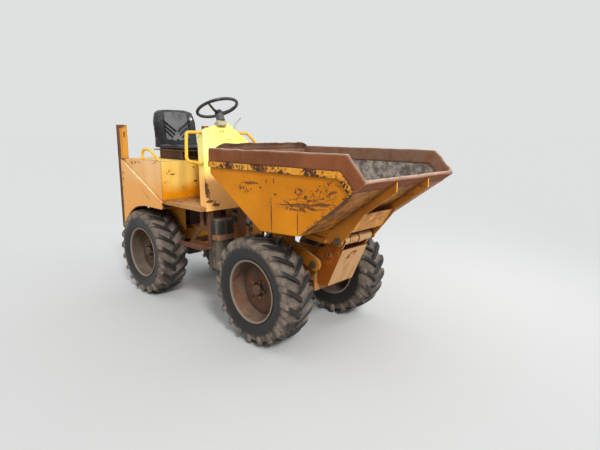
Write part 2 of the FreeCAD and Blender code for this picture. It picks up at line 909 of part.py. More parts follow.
def top_shelves():
    """Fixed shelf on each side of the lid with a ledge that the lid rests on."""
    y0 = cover_half + moving
    low = body_top_z - cover_t - touch - ledge_t
    shelf = box(body_rear_x, body_front_x, y0, body_half - touch, body_top_z - ledge_t, body_top_z)
    web = box(body_rear_x, body_front_x, y0, y0 + ledge_t, low, body_top_z)
    ledge = box(body_rear_x + 10.0, body_front_x, cover_half - ledge_w, y0 + ledge_t, low, low + ledge_t)
    return both_sides(fused([shelf, web, ledge]))


save("top_shelves", top_shelves())


def grab_handles():
    """Bent tube on each shelf beside the seat."""
    y = (cover_half + moving + body_half) / 2
    low = body_top_z - handle_bend
    top = body_top_z + grab_h
    points = [(grab_x, y, low), (grab_x, y, top), (grab_x + grab_shoulder, y, top), (grab_x + grab_l, y, low)]
    reach = grab_l + 2 * handle_bend
    below = box(grab_x - handle_bend, grab_x + reach, y - handle_bend, y + handle_bend,
                low - handle_bend, body_top_z + touch)
    return both_sides(bent_tube(points, handle_r, grab_bend).cut(below))


save("grab_handles", grab_handles())


def floor_plate():
    """Tread floor with a folded rim and two legs down to the rails."""
    x0 = body_front_x + touch
    x1 = floor_front_x
    low = floor_z - floor_rim
    high = floor_z - sheet
    outer = box(x0, x1, -body_half, body_half, low, floor_z)
    inner = box(x0 + sheet, x1 - sheet, -body_half + sheet, body_half - sheet, low, high)
    leg_x = rear_rail_front - floor_leg_back
    leg = box(leg_x, leg_x + floor_leg_w, rail_y, rail_y + rail_t, rear_rail_z1 + touch, high)
    return fused([outer.cut(inner), leg, mirrored(leg)])


save("floor_plate", floor_plate())


def steps():
    """Foot step hung below the floor's edge on each side by two straps."""
    back = step_y0 + step_t
    tray = box(step_x0, step_x1, step_y0, step_y1, step_z, step_z + step_t)
    pitch_x = (step_x1 - step_x0) / tread_holes
    pitch_y = step_w / (tread_rows + 1)
    holes = []
    for row in range(tread_rows):
        for i in range(tread_holes):
            x = step_x0 + (i + 0.5) * pitch_x
            y = step_y0 + (row + 1) * pitch_y
            holes.append(rod((x, y, step_z), (x, y, step_z + step_t), tread_hole_r))
    tray = tray.cut(Part.makeCompound(holes))
    lip = box(step_x0, step_x1, step_y1 - step_t, step_y1, step_z, step_z + step_lip)
    wall = slab_xz([
        (step_x0, step_z), (step_x0 + step_lean, step_back_z), (step_x1, step_back_z), (step_x1, step_z),
    ], step_y0, back)
    inner = Part.makePolygon([
        Vector(step_x0, 0, step_z), Vector(step_x0 + step_lean, 0, step_back_z),
        Vector(step_x1, 0, step_back_z), Vector(step_x1, 0, step_z), Vector(step_x0, 0, step_z),
    ]).makeOffset2D(-step_frame_w, 2)
    window = slab_xz([(v.Point.x, v.Point.z) for v in inner.OrderedVertexes], step_y0, back)
    straps = []
    for x in (step_x0 + step_lean, step_x1 - step_strap_w):
        straps.append(box(x, x + step_strap_w, step_y0, back, step_back_z - step_frame_w,
                          floor_z - floor_rim - touch))
    arm_x1 = rear_rail_front - step_arm_gap
    arm = box(arm_x1 - step_strap_w, arm_x1, rail_y + rail_t + touch, step_y0, step_z, step_z + step_arm_h)
    return both_sides(fused([tray, lip, wall.cut(window), arm] + straps))


save("steps", steps())


tilt = math.radians(column_tilt)
column_axis = Vector(-math.sin(tilt), 0, math.cos(tilt))
wheel_centre = Vector(wheel_centre_x, 0, wheel_centre_z)


def binnacle_block(grown):
    """Small instrument box across the cowl's head under the column."""
    base = wheel_centre + column_axis * (-wheel_dish - column_foot - touch)
    deep = binnacle_l / 2 + grown
    half = binnacle_w / 2 + grown
    corner = Vector(-deep - binnacle_back, -half, -binnacle_h - grown)
    block = Part.makeBox(2 * deep, 2 * half, binnacle_h + grown, corner)
    block.rotate(Vector(0, 0, 0), Vector(0, 1, 0), -column_tilt)
    block.translate(base)
    return block


def cowl():
    """Folded sheet in front of the driver that leans back and narrows upwards."""
    rise = cowl_head_z - cowl_foot_z
    run = cowl_foot_x - cowl_head_x
    length = math.hypot(rise, run)
    lean = math.degrees(math.atan2(run, rise))
    crown = length + cowl_arch
    slope = (cowl_foot_half - cowl_head_half) / length
    cut_y = cowl_foot_half - slope * (length - cowl_cut_side)
    # the left upper corner is cut off, the right one is square
    corners = [
        (-cowl_foot_half, 0), (cowl_foot_half, 0), (cut_y, length - cowl_cut_side),
        (cowl_cut_half, length - cowl_cut_drop), (cowl_crown, crown), (0, crown), (-cowl_head_half, length),
    ]
    outline = Part.makePolygon([Vector(0, y, z) for y, z in corners + corners[:1]])
    panel = Part.Face(outline).extrude(Vector(-sheet, 0, 0))
    hood = Part.Face(outline).extrude(Vector(-cowl_flange, 0, 0))
    room = Part.Face(outline.makeOffset2D(-sheet, 2)).extrude(Vector(-cowl_flange, 0, 0))
    foot_half = cowl_foot_half - 2 * sheet
    foot = box(-cowl_flange, -sheet, -foot_half, foot_half, -sheet, 2 * sheet)
    body = fused([panel, hood.cut(room).cut(foot)])
    body.rotate(Vector(0, 0, 0), Vector(0, 1, 0), -lean)
    body.translate(Vector(cowl_foot_x, 0, cowl_foot_z))
    reach = 2 * cowl_flange
    ground = box(cowl_foot_x - reach, cowl_foot_x + reach, -cowl_foot_half, cowl_foot_half,
                 cowl_foot_z - reach, cowl_foot_z)
    floor_room = box(floor_front_x - reach, floor_front_x + touch, -body_half, body_half,
                     cowl_foot_z - reach, floor_z + touch)
    return body.cut(ground).cut(floor_room).cut(binnacle_block(touch))


cowl_shape = cowl()
save("cowl", cowl_shape)


def cowl_handles():
    """Tube handle standing out from each side of the cowl."""
    def edge_point(z):
        share = (z - cowl_foot_z) / (cowl_head_z - cowl_foot_z)
        x = cowl_foot_x + (cowl_head_x - cowl_foot_x) * share
        y = cowl_foot_half + (cowl_head_half - cowl_foot_half) * share
        return x, y
    low_x, low_y = edge_point(cowl_grip_z0)
    high_x, high_y = edge_point(cowl_grip_z1)
    low_x -= cowl_grip_back
    high_x -= cowl_grip_back
    out = high_y + cowl_grip_out
    points = [
        (low_x, low_y, cowl_grip_z0), (low_x, out, cowl_grip_z0 + cowl_grip_rise),
        (high_x, out, cowl_grip_z1 - cowl_grip_rise), (high_x, high_y - cowl_grip_in, cowl_grip_z1),
    ]
    tube = bent_tube(points, handle_r, handle_bend)
    grips = []
    for whole in (tube, mirrored(tube)):
        grips.append(max(whole.cut(cowl_shape).Solids, key=lambda solid: solid.Volume))
    return Part.makeCompound(grips)


save("cowl_handles", cowl_handles())


def along_column(shape, distance):
    """Turns a shape built on the Z axis to the column and sets it at a distance from the wheel's centre."""
    shape.rotate(Vector(0, 0, 0), Vector(0, 1, 0), -column_tilt)
    shape.translate(wheel_centre + column_axis * distance)
    return shape


def steering_wheel():
    middle_r = wheel_ring_r - wheel_tube_r
    low = -wheel_dish - wheel_hub_h / 2
    ring = Part.makeTorus(middle_r, wheel_tube_r)
    hub = Part.makeCylinder(wheel_hub_r, wheel_hub_h, Vector(0, 0, low))
    spokes = []
    for i in range(3):
        angle = math.radians(120.0 * i + 60.0)
        along = Vector(math.cos(angle), math.sin(angle), 0)
        end = along * middle_r
        spokes.append(rod((0, 0, -wheel_dish), (end.x, end.y, 0), wheel_spoke_r))
    bore = Part.makeCylinder(column_r + running, column_in, Vector(0, 0, low))
    return along_column(fused([ring, hub] + spokes).cut(bore), 0)


def steering_column():
    foot = -wheel_dish - column_foot
    low = -wheel_dish - wheel_hub_h / 2
    sleeve = Part.makeCylinder(column_sleeve_r, low - touch - foot, Vector(0, 0, foot))
    shaft = Part.makeCylinder(column_r, low + column_in - touch - foot, Vector(0, 0, foot))
    return along_column(fused([sleeve, shaft]), 0)


save("steering_wheel", steering_wheel())
save("steering_column", steering_column())


# Seat
def seat_base():
    """Box under the seat with a thin pan on top that carries the cushion and the backrest."""
    half = seat_w / 2 - seat_base_in
    pan_half = seat_w / 2 - seat_pan_in
    top = cushion_z0 - touch
    stand = box(seat_back_x + seat_base_behind, seat_front_x - seat_overhang, -half, half, seat_z0, top)
    pan = box(seat_back_x + seat_foot, seat_front_x - seat_pan_in, -pan_half, pan_half, top - seat_pan_t, top)
    return fused([stand, pan])


def seat_cushion():
    x0 = seat_back_x + seat_foot + seat_back_t + seat_gap
    half = seat_w / 2
    section = Part.Face(Part.Wire([
        Part.makeLine(Vector(x0, -half, cushion_z0), Vector(x0, half, cushion_z0)),
        Part.makeLine(Vector(x0, half, cushion_z0), Vector(x0, half, cushion_z1)),
        Part.Arc(Vector(x0, half, cushion_z1), Vector(x0, 0, cushion_z1 - cushion_dish),
                 Vector(x0, -half, cushion_z1)).toShape(),
        Part.makeLine(Vector(x0, -half, cushion_z1), Vector(x0, -half, cushion_z0)),
    ]))
    block = section.extrude(Vector(seat_front_x - x0, 0, 0))
    return block.makeFillet(cushion_round, block.Edges)


def top_edges(block, top):
    """Numbers of a block's edges along X at its top."""
    numbers = []
    for i, edge in enumerate(block.Edges):
        along_x = abs(edge.tangentAt(edge.FirstParameter).x) > 0.9
        if along_x and edge.BoundBox.ZMin > top - 1.0:
            numbers.append(i)
    return numbers


def seat_back():
    """Backrest that leans back from a thin foot over a thicker shoulder."""
    foot = seat_back_x + seat_foot
    head = seat_back_x + seat_head
    half = seat_w / 2
    profile = [
        (foot, cushion_z0), (foot + seat_back_t, cushion_z0), (seat_back_x + seat_bulge, seat_bulge_z),
        (head + seat_head_t, seat_top_z), (head, seat_top_z), (seat_back_x, seat_bulge_z),
    ]
    shell = slab_xz(profile, -half, half)
    front = box(seat_back_x, seat_back_x + 2 * seat_bulge, -half, half, cushion_z0, seat_top_z)
    front = front.makeFillet(back_corner, [front.Edges[i] for i in top_edges(front, seat_top_z)])
    return shell.common(front)


save("binnacle", binnacle_block(0))
save("seat_base", seat_base())
save("seat_cushion", seat_cushion())
save("seat_back", seat_back())


# Tank
tank_block = box(tank_x0, tank_x1, tank_y0, tank_y1, tank_z0, tank_z1)
save("tank", tank_block.makeFillet(tank_round, tank_block.Edges))


def rounded_post(x0, x1, y0, y1):
    """Upright block as high as the clamp, with the tank's round corners."""
    block = box(x0, x1, y0, y1, clamp_z, clamp_z + clamp_h)
    upright = [e for e in block.Edges if abs(e.tangentAt(e.FirstParameter).z) > 0.9]
    return block.makeFillet(tank_round - touch, upright)


def tank_strap():
    """Flat band that passes under the tank and hangs it from the floor, with a bar to a hanger plate."""
    x1 = floor_front_x - strap_back
    x0 = x1 - step_strap_w
    middle = (x0 + x1) / 2
    y0 = tank_y0 - touch
    y1 = tank_y1 + touch
    z0 = tank_z0 - touch
    z1 = floor_z - sheet - touch
    band = box(x0, x1, y0 - tank_band_t, y1 + tank_band_t, z0 - tank_band_t, z1)
    band = band.cut(box(x0, x1, y0, y1, z0, z1))
    # clamp round the tank and over the hanging band
    out = tank_band_t + clamp_out
    ring = rounded_post(tank_x0 - touch - clamp_out, tank_x1 + touch + clamp_out, y0 - out, y1 + out)
    room = rounded_post(tank_x0 - touch, tank_x1 + touch, y0, y1)
    rivet_z = clamp_z + clamp_h / 2
    rivet = rod_y(middle, rivet_z, y0 - out - clamp_out, y0 - tank_band_t, clamp_rivet_r)
    hanger = box(x1 - strap_t, x1, hanger_y0, hanger_y1, z1 - hanger_drop, z1)
    bar = box(x1 - strap_t, x1, y1, hanger_y1, z1 - cross_bar_h, z1)
    return fused([band, ring.cut(room), rivet, hanger, bar])


save("tank_strap", tank_strap())


# Skip
def skip_outline(inset, proud):
    """Side outline drawn in by an inset, its rear end moved back by what stands proud."""
    heel_x, heel_z = skip_heel
    toe_x, toe_z = skip_toe
    corners = [
        (skip_rear_x - proud, skip_top_z), (skip_rear_x - proud, skip_knee_z), (heel_x, heel_z),
        (toe_x, toe_z), (lip_x, skip_lip_z), (skip_break_x, skip_top_z),
    ]
    if inset == 0:
        return corners
    loop = [Vector(x, 0, z) for x, z in corners]
    wire = Part.makePolygon(loop + loop[:1])
    inner = wire.makeOffset2D(-inset, 2)
    return [(v.Point.x, v.Point.z) for v in inner.OrderedVertexes]


def skip_region(low, high):
    """Slab of space between two depths below the skip's upper edge."""
    run = lip_x - skip_break_x
    slope = (skip_top_z - skip_lip_z) / run
    narrowing = (math.hypot(1, slope) - 1) / slope
    upper = []
    lower = []
    for depth, line in ((low, upper), (high, lower)):
        z = skip_top_z - depth
        bend_x = skip_break_x - depth * narrowing
        line += [(skip_rear_x - run, z), (bend_x, z), (lip_x + run, z - slope * (lip_x + run - bend_x))]
    half = skip_half + rim_band_out
    return slab_xz(upper + lower[::-1], -half, half)


def skip_cavity(wall, proud):
    """Everything inside the sheet and above it, open at the top and the front lip's slope."""
    outline = skip_outline(wall, proud)
    top_points = sorted(outline, key=lambda p: -p[1])[:2]
    knee, heel, toe, lip = sorted(p for p in outline if p not in top_points)
    lip_dx = (lip[0] - toe[0]) / (lip[1] - toe[1])
    high = skip_top_z + extension_h
    points = [knee, heel, toe, (lip[0] + lip_dx * (high - lip[1]), high), (knee[0], high)]
    half = skip_half + proud - wall
    return slab_xz(points, -half, half)


def skip_block(proud):
    half = skip_half + proud
    return slab_xz(skip_outline(0, proud), -half, half)


tub_solid = skip_block(0).cut(skip_cavity(skip_wall, 0))
save("skip_tub", tub_solid.common(skip_region(extension_h + touch, skip_top_z)))
extension_solid = skip_block(rim_band_out).cut(skip_cavity(extension_t, rim_band_out))
save("skip_extension", extension_solid.common(skip_region(-1.0, extension_h)))


def rim_band():
    """Folded band round the outside of the tub under the extension."""
    ring = skip_block(rim_band_out).cut(skip_block(touch))
    return ring.common(skip_region(extension_h + touch, extension_h + rim_band_h))


save("skip_band", rim_band())


def skip_gussets():
    """Two deep plates under the chute, with a plate between, that carry the skip on its pin."""
    heel_x, heel_z = skip_heel
    toe_x, toe_z = skip_toe
    y0 = gusset_y - gusset_t / 2
    y1 = gusset_y + gusset_t / 2
    chute = (skip_lip_z - toe_z) / (lip_x - toe_x)
    floor = (toe_z - heel_z) / (toe_x - heel_x)
    under = toe_z - touch * math.hypot(1, chute)
    top_z = under + chute * (gusset_top_x - toe_x)
    bend_x = hinge_x + gusset_bend_ahead
    bend_z = under + chute * (bend_x - toe_x) - gusset_rim
    lever_x0 = hinge_x - lever_back
    lever_x1 = hinge_x + lever_ahead
    lever_z0 = hinge_z
    lever_z1 = hinge_z - lever_drop
    outline = Part.makePolygon([Vector(x, y0, z) for x, z in [
        (hinge_x + gusset_boss, hinge_z), (hinge_x, hinge_z - gusset_boss / 2),
        (lever_x1, lever_z1 - lever_w / 2), (gusset_rear_x + gusset_heel, heel_z - gusset_heel),
        (gusset_rear_x, heel_z + floor * (gusset_rear_x - heel_x) - touch), (toe_x, toe_z - touch),
        (gusset_top_x, top_z), (gusset_top_x, top_z - gusset_rim), (bend_x, bend_z),
    ]])
    sweep = Part.Arc(Vector(bend_x, y0, bend_z), Vector(hinge_x + gusset_waist_ahead, y0, gusset_waist_z),
                     Vector(hinge_x + gusset_boss, y0, hinge_z)).toShape()
    plate = Part.Face(Part.Wire(outline.Edges + [sweep])).extrude(Vector(0, gusset_t, 0))
    notch = rod_y(hinge_x - gusset_notch_back, hinge_z - gusset_notch_drop, y0, y1, gusset_notch_r)
    plate = plate.cut(notch).fuse(rod_y(hinge_x, hinge_z, y0, y1, gusset_boss))
    # flat bar along the lower edge, with a round end and a pin's head
    bar = slab_xz([
        (lever_x0, lever_z0 + lever_w / 2), (lever_x1, lever_z1 + lever_w / 2),
        (lever_x1, lever_z1 - lever_w / 2), (lever_x0, lever_z0 - lever_w / 2),
    ], y1, y1 + lever_t)
    bar_end = rod_y(lever_x1, lever_z1, y0, y1 + lever_t, lever_w / 2)
    bar_pin = rod_y(lever_x1, lever_z1, y1, y1 + lever_t + lever_pin_out, lever_pin_r)
    plate = fused([plate, bar, bar_end, bar_pin])
    plate = plate.cut(rod_y(hinge_x, hinge_z, y0 - 1, y1 + 1, hinge_r + running))
    low_x, low_z = gusset_cross_low
    high_x, high_z = gusset_cross_high
    cross = slab_xz([
        (hinge_x + low_x, hinge_z + low_z), (hinge_x + high_x, hinge_z + high_z),
        (hinge_x + high_x - gusset_t, hinge_z + high_z), (hinge_x + low_x - gusset_t, hinge_z + low_z),
    ], -y0, y0)
    return fused([plate, mirrored(plate), cross])


def skip_ram_ears():
    """Two lugs under the skip's floor beside the ram's rod eye."""
    heel_x, heel_z = skip_heel
    toe_x, toe_z = skip_toe
    floor = (toe_z - heel_z) / (toe_x - heel_x)
    y0 = ram_eye_w / 2 + ram_top_gap
    top_z = heel_z + floor * (ram_eye_x - ram_eye_r - heel_x) - touch
    ear = slab_xz([
        (ram_eye_x - ram_eye_r, top_z), (ram_eye_x + ram_eye_r, top_z + floor * 2 * ram_eye_r),
        (ram_eye_x + ram_eye_r, ram_eye_z), (ram_eye_x - ram_eye_r, ram_eye_z),
    ], y0, y0 + ram_ear_t)
    return both_sides(fused([ear, rod_y(ram_eye_x, ram_eye_z, y0, y0 + ram_ear_t, ram_eye_r)]))


save("skip_gussets", skip_gussets())
save("skip_ram_ears", skip_ram_ears())


def hinge_pin():
    end = gusset_y + gusset_t / 2 + hinge_pin_out
    pin = rod_y(hinge_x, hinge_z, -end, end, hinge_r)
    head = rod_y(hinge_x, hinge_z, end - hinge_head_t, end, hinge_r + hinge_head_out)
    return fused([pin, head, mirrored(head)])


save("hinge_pin", hinge_pin())


# Tipping ram
ram_span = math.hypot(ram_eye_x - ram_base_x, ram_eye_z - ram_base_z)
ram_rise = math.degrees(math.atan2(ram_eye_z - ram_base_z, ram_eye_x - ram_base_x))


def along_ram(shape):
    """Turns a shape built on the X axis to the ram's slope, from the base pin."""
    shape.rotate(Vector(0, 0, 0), Vector(0, 1, 0), -ram_rise)
    shape.translate(Vector(ram_base_x, 0, ram_base_z))
    return shape


def ram_barrel():
    length = ram_span - ram_shut_gap
    half = ram_eye_w / 2
    tube = rod((ram_neck, 0, 0), (length, 0, 0), ram_barrel_r)
    gland = rod((length - ram_gland_l, 0, 0), (length, 0, 0), ram_barrel_r + ram_gland_out)
    eye = rod_y(0, 0, -half, half, ram_eye_r)
    neck = box(0, ram_neck, -half, half, -half, half)
    bore = rod((ram_rod_start - ram_neck, 0, 0), (length, 0, 0), ram_rod_r + running)
    pin = rod_y(0, 0, -half, half, ram_pin_r + running)
    return along_ram(fused([tube, gland, eye, neck]).cut(bore).cut(pin))


def ram_rod():
    shaft = rod((ram_rod_start, 0, 0), (ram_span, 0, 0), ram_rod_r)
    eye = rod_y(ram_span, 0, -ram_eye_w / 2, ram_eye_w / 2, ram_eye_r)
    return along_ram(fused([shaft, eye]))


def ram_base_pin():
    end = ram_eye_w / 2 + ram_ear_t + ram_pin_out
    return rod_y(ram_base_x, ram_base_z, -end, end, ram_pin_r)


save("ram_barrel", ram_barrel())
save("ram_rod", ram_rod())
save("ram_base_pin", ram_base_pin())
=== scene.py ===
import math
import bpy
from mathutils import Matrix, Vector, noise


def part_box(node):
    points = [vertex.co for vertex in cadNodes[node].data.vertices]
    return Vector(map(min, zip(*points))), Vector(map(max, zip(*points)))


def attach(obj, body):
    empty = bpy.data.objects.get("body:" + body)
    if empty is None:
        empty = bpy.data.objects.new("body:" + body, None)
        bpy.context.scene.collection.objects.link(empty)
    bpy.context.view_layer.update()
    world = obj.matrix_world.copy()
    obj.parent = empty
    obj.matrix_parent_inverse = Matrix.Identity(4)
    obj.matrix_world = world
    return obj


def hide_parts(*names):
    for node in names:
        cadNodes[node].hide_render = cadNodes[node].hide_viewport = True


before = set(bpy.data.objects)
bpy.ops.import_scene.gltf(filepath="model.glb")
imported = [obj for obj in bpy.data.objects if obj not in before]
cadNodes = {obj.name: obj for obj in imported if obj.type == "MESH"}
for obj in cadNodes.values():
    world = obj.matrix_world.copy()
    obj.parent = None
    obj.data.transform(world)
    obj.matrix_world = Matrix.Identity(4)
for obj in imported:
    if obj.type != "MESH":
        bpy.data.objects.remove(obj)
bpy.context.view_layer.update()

# Places on the machine that several pieces share, in metres
frontAxleX = 0.4855
rearAxleX = -0.9625
axleZ = 0.3719
wheelY = 0.407
skipSideY = 0.473
skipRearX = 0.0305


# Small helpers
def deselectAll():
    if bpy.context.mode != "OBJECT":
        bpy.ops.object.mode_set(mode="OBJECT")
    bpy.ops.object.select_all(action="DESELECT")


def pick(obj):
    deselectAll()
    obj.select_set(True)
    bpy.context.view_layer.objects.active = obj
    return obj


def openMesh(obj, kind="VERT"):
    pick(obj)
    bpy.ops.object.mode_set(mode="EDIT")
    bpy.ops.mesh.select_mode(type=kind)
    bpy.ops.mesh.select_all(action="DESELECT")


def closeMesh():
    bpy.ops.object.mode_set(mode="OBJECT")


def takeNew(name):
    obj = bpy.context.object
    obj.name = name
    obj.data.name = name
    return obj


def modify(obj, kind, **settings):
    pick(obj)
    made = obj.modifiers.new(kind.title(), kind)
    for key, value in settings.items():
        setattr(made, key, value)
    bpy.ops.object.modifier_apply(modifier=made.name)


def bakePlace(obj):
    pick(obj)
    bpy.ops.object.transform_apply(location=True, rotation=True, scale=True)
    return obj


def copyOf(obj, name, move=None):
    made = obj.copy()
    made.data = obj.data.copy()
    made.name = name
    made.data.name = name
    bpy.context.scene.collection.objects.link(made)
    if move is not None:
        made.data.transform(move)
    return made


def joined(pieces, name):
    pick(pieces[0])
    for other in pieces[1:]:
        other.select_set(True)
    if len(pieces) > 1:
        bpy.ops.object.join()
    return takeNew(name)


def turnedOut(obj, merge=0.0001):
    openMesh(obj)
    bpy.ops.mesh.select_all(action="SELECT")
    bpy.ops.mesh.remove_doubles(threshold=merge)
    bpy.ops.mesh.normals_make_consistent(inside=False)
    closeMesh()
    return obj


def dress(obj, material, body, smooth=35, stands=()):
    pick(obj)
    obj.data.materials.clear()
    obj.data.materials.append(material)
    bpy.ops.object.shade_smooth_by_angle(angle=math.radians(smooth))
    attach(obj, body)
    if stands:
        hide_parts(*stands)
    return obj


def pointLine(points, name):
    deselectAll()
    bpy.ops.mesh.primitive_plane_add(size=0.01, location=points[0])
    obj = bakePlace(takeNew(name))
    openMesh(obj)
    bpy.ops.mesh.select_all(action="SELECT")
    bpy.ops.mesh.merge(type="CENTER")
    for before, after in zip(points, points[1:]):
        step = Vector(after) - Vector(before)
        bpy.ops.mesh.extrude_region_move(TRANSFORM_OT_translate={"value": step})
    return obj


def spunRound(points, name, steps, closed=True):
    ring = [(r, y, 0.0) for r, y in points]
    obj = pointLine(ring, name)
    bpy.ops.mesh.select_all(action="SELECT")
    if closed:
        bpy.ops.mesh.edge_face_add()
        bpy.ops.mesh.delete(type="ONLY_FACE")
        bpy.ops.mesh.select_all(action="SELECT")
    bpy.ops.mesh.spin(steps=steps, angle=2 * math.pi, center=(0, 0, 0), axis=(0, 1, 0))
    closeMesh()
    return turnedOut(obj)


def selectWhere(obj, kind, test):
    openMesh(obj, kind)
    closeMesh()
    for part in (obj.data.polygons if kind == "FACE" else obj.data.vertices):
        part.select = test(part)
    bpy.ops.object.mode_set(mode="EDIT")


def writeLayer(obj, name, valueAt):                        # a value on each vertex, for a material to read
    layer = obj.data.attributes.new(name, "FLOAT", "POINT")
    for index, vert in enumerate(obj.data.vertices):
        layer.data[index].value = valueAt(vert.co)


def between(value, low, high):
    return min(high, max(low, value))


def addNode(tree, kind, inputs=None, **settings):
    made = tree.nodes.new(kind)
    for key, value in settings.items():
        setattr(made, key, value)
    for key, value in (inputs or {}).items():
        if isinstance(value, bpy.types.NodeSocket):
            tree.links.new(value, made.inputs[key])
        else:
            made.inputs[key].default_value = value
    return made


# Camera and light
cameraSettings = {"place": (2.7074, -2.3757, 1.4103), "yaw": 43.59, "down": 11.49, "roll": 0.34, "lens": 27.53}
lightSettings = {"skyLow": 0.20, "skyHigh": 0.98, "skyColor": (0.93, 0.97, 1.0), "sun": 2.3, "sunSoft": 12.0,
                 "sunFrom": (4.7, -2.2, 4.1), "glint": 34.0, "floor": (0.55, 0.545, 0.53), "far": (0.735, 0.752, 0.745)}


def setCamera():
    turn = (Matrix.Rotation(math.radians(cameraSettings["yaw"]), 4, "Z")
            @ Matrix.Rotation(math.radians(90 - cameraSettings["down"]), 4, "X")
            @ Matrix.Rotation(math.radians(cameraSettings["roll"]), 4, "Z"))
    bpy.ops.object.camera_add(location=cameraSettings["place"], rotation=turn.to_euler())
    camera = bpy.context.object
    camera.data.lens = cameraSettings["lens"]
    camera.data.sensor_width = 36
    bpy.context.scene.camera = camera


def aimedLight(kind, name, place, aim, power):
    back = Vector(place) - Vector(aim)
    bpy.ops.object.light_add(type=kind, location=place, rotation=back.to_track_quat("Z", "Y").to_euler())
    lamp = bpy.context.object
    lamp.name = name
    lamp.data.energy = power
    return lamp.data


def setLights():
    world = bpy.data.worlds.new("studio")
    bpy.context.scene.world = world
    world.use_nodes = True
    tree = world.node_tree
    tree.nodes.clear()
    toward = addNode(tree, "ShaderNodeTexCoord").outputs["Generated"]
    rise = addNode(tree, "ShaderNodeSeparateXYZ", {0: toward}).outputs[2]
    bright = addNode(tree, "ShaderNodeMapRange", {      # dim near the horizon, bright overhead
        0: rise, 1: 0.02, 2: 0.42, 3: lightSettings["skyLow"], 4: lightSettings["skyHigh"],
    }, interpolation_type="SMOOTHSTEP").outputs[0]
    sky = addNode(tree, "ShaderNodeBackground", {"Color": (*lightSettings["skyColor"], 1), "Strength": bright})
    seen = addNode(tree, "ShaderNodeBackground", {"Color": (*lightSettings["far"], 1)})
    camera = addNode(tree, "ShaderNodeLightPath").outputs["Is Camera Ray"]
    mix = addNode(tree, "ShaderNodeMixShader", {0: camera, 1: sky.outputs[0], 2: seen.outputs[0]})
    addNode(tree, "ShaderNodeOutputWorld", {0: mix.outputs[0]})
    sun = aimedLight("SUN", "softSun", lightSettings["sunFrom"], (0, 0, 0), lightSettings["sun"])
    sun.angle = math.radians(lightSettings["sunSoft"])
    glint = aimedLight("AREA", "glintLight", (2.05, 2.10, 2.75), (-1.05, 0, 1.5), lightSettings["glint"])
    glint.size = 1.6


deselectAll()
setCamera()
setLights()
bpy.context.scene.view_settings.view_transform = "Standard"
print("camera and lights set")


# Shader tools
def newGroup(name, ins, outs):                             # an input without a number is a vector
    tree = bpy.data.node_groups.new(name, "ShaderNodeTree")
    for label, value in ins.items():
        kind = "NodeSocketVector" if value is None else "NodeSocketFloat"
        socket = tree.interface.new_socket(name=label, in_out="INPUT", socket_type=kind)
        if value is not None:
            socket.default_value = value
    for label in outs:
        kind = {"Color": "NodeSocketColor", "Normal": "NodeSocketVector"}.get(label, "NodeSocketFloat")
        tree.interface.new_socket(name=label, in_out="OUTPUT", socket_type=kind)
    return tree, tree.nodes.new("NodeGroupInput").outputs, tree.nodes.new("NodeGroupOutput").inputs


def rampOf(tree, value, low, high):
    return addNode(tree, "ShaderNodeMapRange", {0: value, 1: low, 2: high, 3: 0.0, 4: 1.0},
                   interpolation_type="SMOOTHSTEP").outputs[0]


def mathOf(tree, operation, a, b=0.0):
    return addNode(tree, "ShaderNodeMath", {0: a, 1: b}, operation=operation).outputs[0]


def times(tree, a, b):
    return mathOf(tree, "MULTIPLY", a, b)


def plus(tree, a, b):
    return mathOf(tree, "ADD", a, b)


def minus(tree, a, b):
    return mathOf(tree, "SUBTRACT", a, b)


def larger(tree, a, b):
    return mathOf(tree, "MAXIMUM", a, b)


def mixOf(tree, factor, a, b):
    a, b = [(*tone, 1) if isinstance(tone, tuple) else tone for tone in (a, b)]
    return addNode(tree, "ShaderNodeMix", {0: factor, 6: a, 7: b}, data_type="RGBA").outputs[2]


def noiseOf(tree, vector, scale, detail=4.0, rough=0.55):
    return addNode(tree, "ShaderNodeTexNoise", {"Vector": vector, "Scale": scale, "Detail": detail,
                                                "Roughness": rough}).outputs[0]


def ownNormal(tree):                                       # the face's direction, turned back with the body it rides on
    world = addNode(tree, "ShaderNodeNewGeometry").outputs["Normal"]
    return addNode(tree, "ShaderNodeVectorTransform", {0: world}, vector_type="NORMAL", convert_from="WORLD",
                   convert_to="OBJECT").outputs[0]


def makePatches():
    tree, start, end = newGroup("rustPatches", {"Vector": None, "Region Scale": 3.0, "Spot Scale": 26.0,
                                "Amount": 0.3}, ["Mask"])
    region = noiseOf(tree, start["Vector"], start["Region Scale"], 3.0)
    spots = noiseOf(tree, start["Vector"], start["Spot Scale"], 7.0, 0.62)
    total = plus(tree, times(tree, region, 0.55), times(tree, spots, 0.45))
    low = minus(tree, 0.80, times(tree, start["Amount"], 0.45))
    high = plus(tree, low, 0.025)
    mask = addNode(tree, "ShaderNodeMapRange", {0: total, 1: low, 2: high}).outputs[0]
    tree.links.new(mask, end["Mask"])
    return tree


def makeEdges():
    tree, start, end = newGroup("wornEdges", {"Vector": None, "Radius": 0.006, "Scale": 22.0}, ["Mask", "Normal"])
    soft = addNode(tree, "ShaderNodeBevel", {"Radius": start["Radius"]}, samples=6)
    flat = addNode(tree, "ShaderNodeNewGeometry")
    dot = addNode(tree, "ShaderNodeVectorMath", {0: soft.outputs[0], 1: flat.outputs["Normal"]},
                  operation="DOT_PRODUCT").outputs["Value"]
    away = minus(tree, 1.0, dot)
    chips = noiseOf(tree, start["Vector"], start["Scale"], 5.0, 0.6)
    total = plus(tree, times(tree, away, 2.2), times(tree, chips, 0.5))
    tree.links.new(rampOf(tree, total, 0.40, 0.55), end["Mask"])
    tree.links.new(soft.outputs[0], end["Normal"])
    return tree


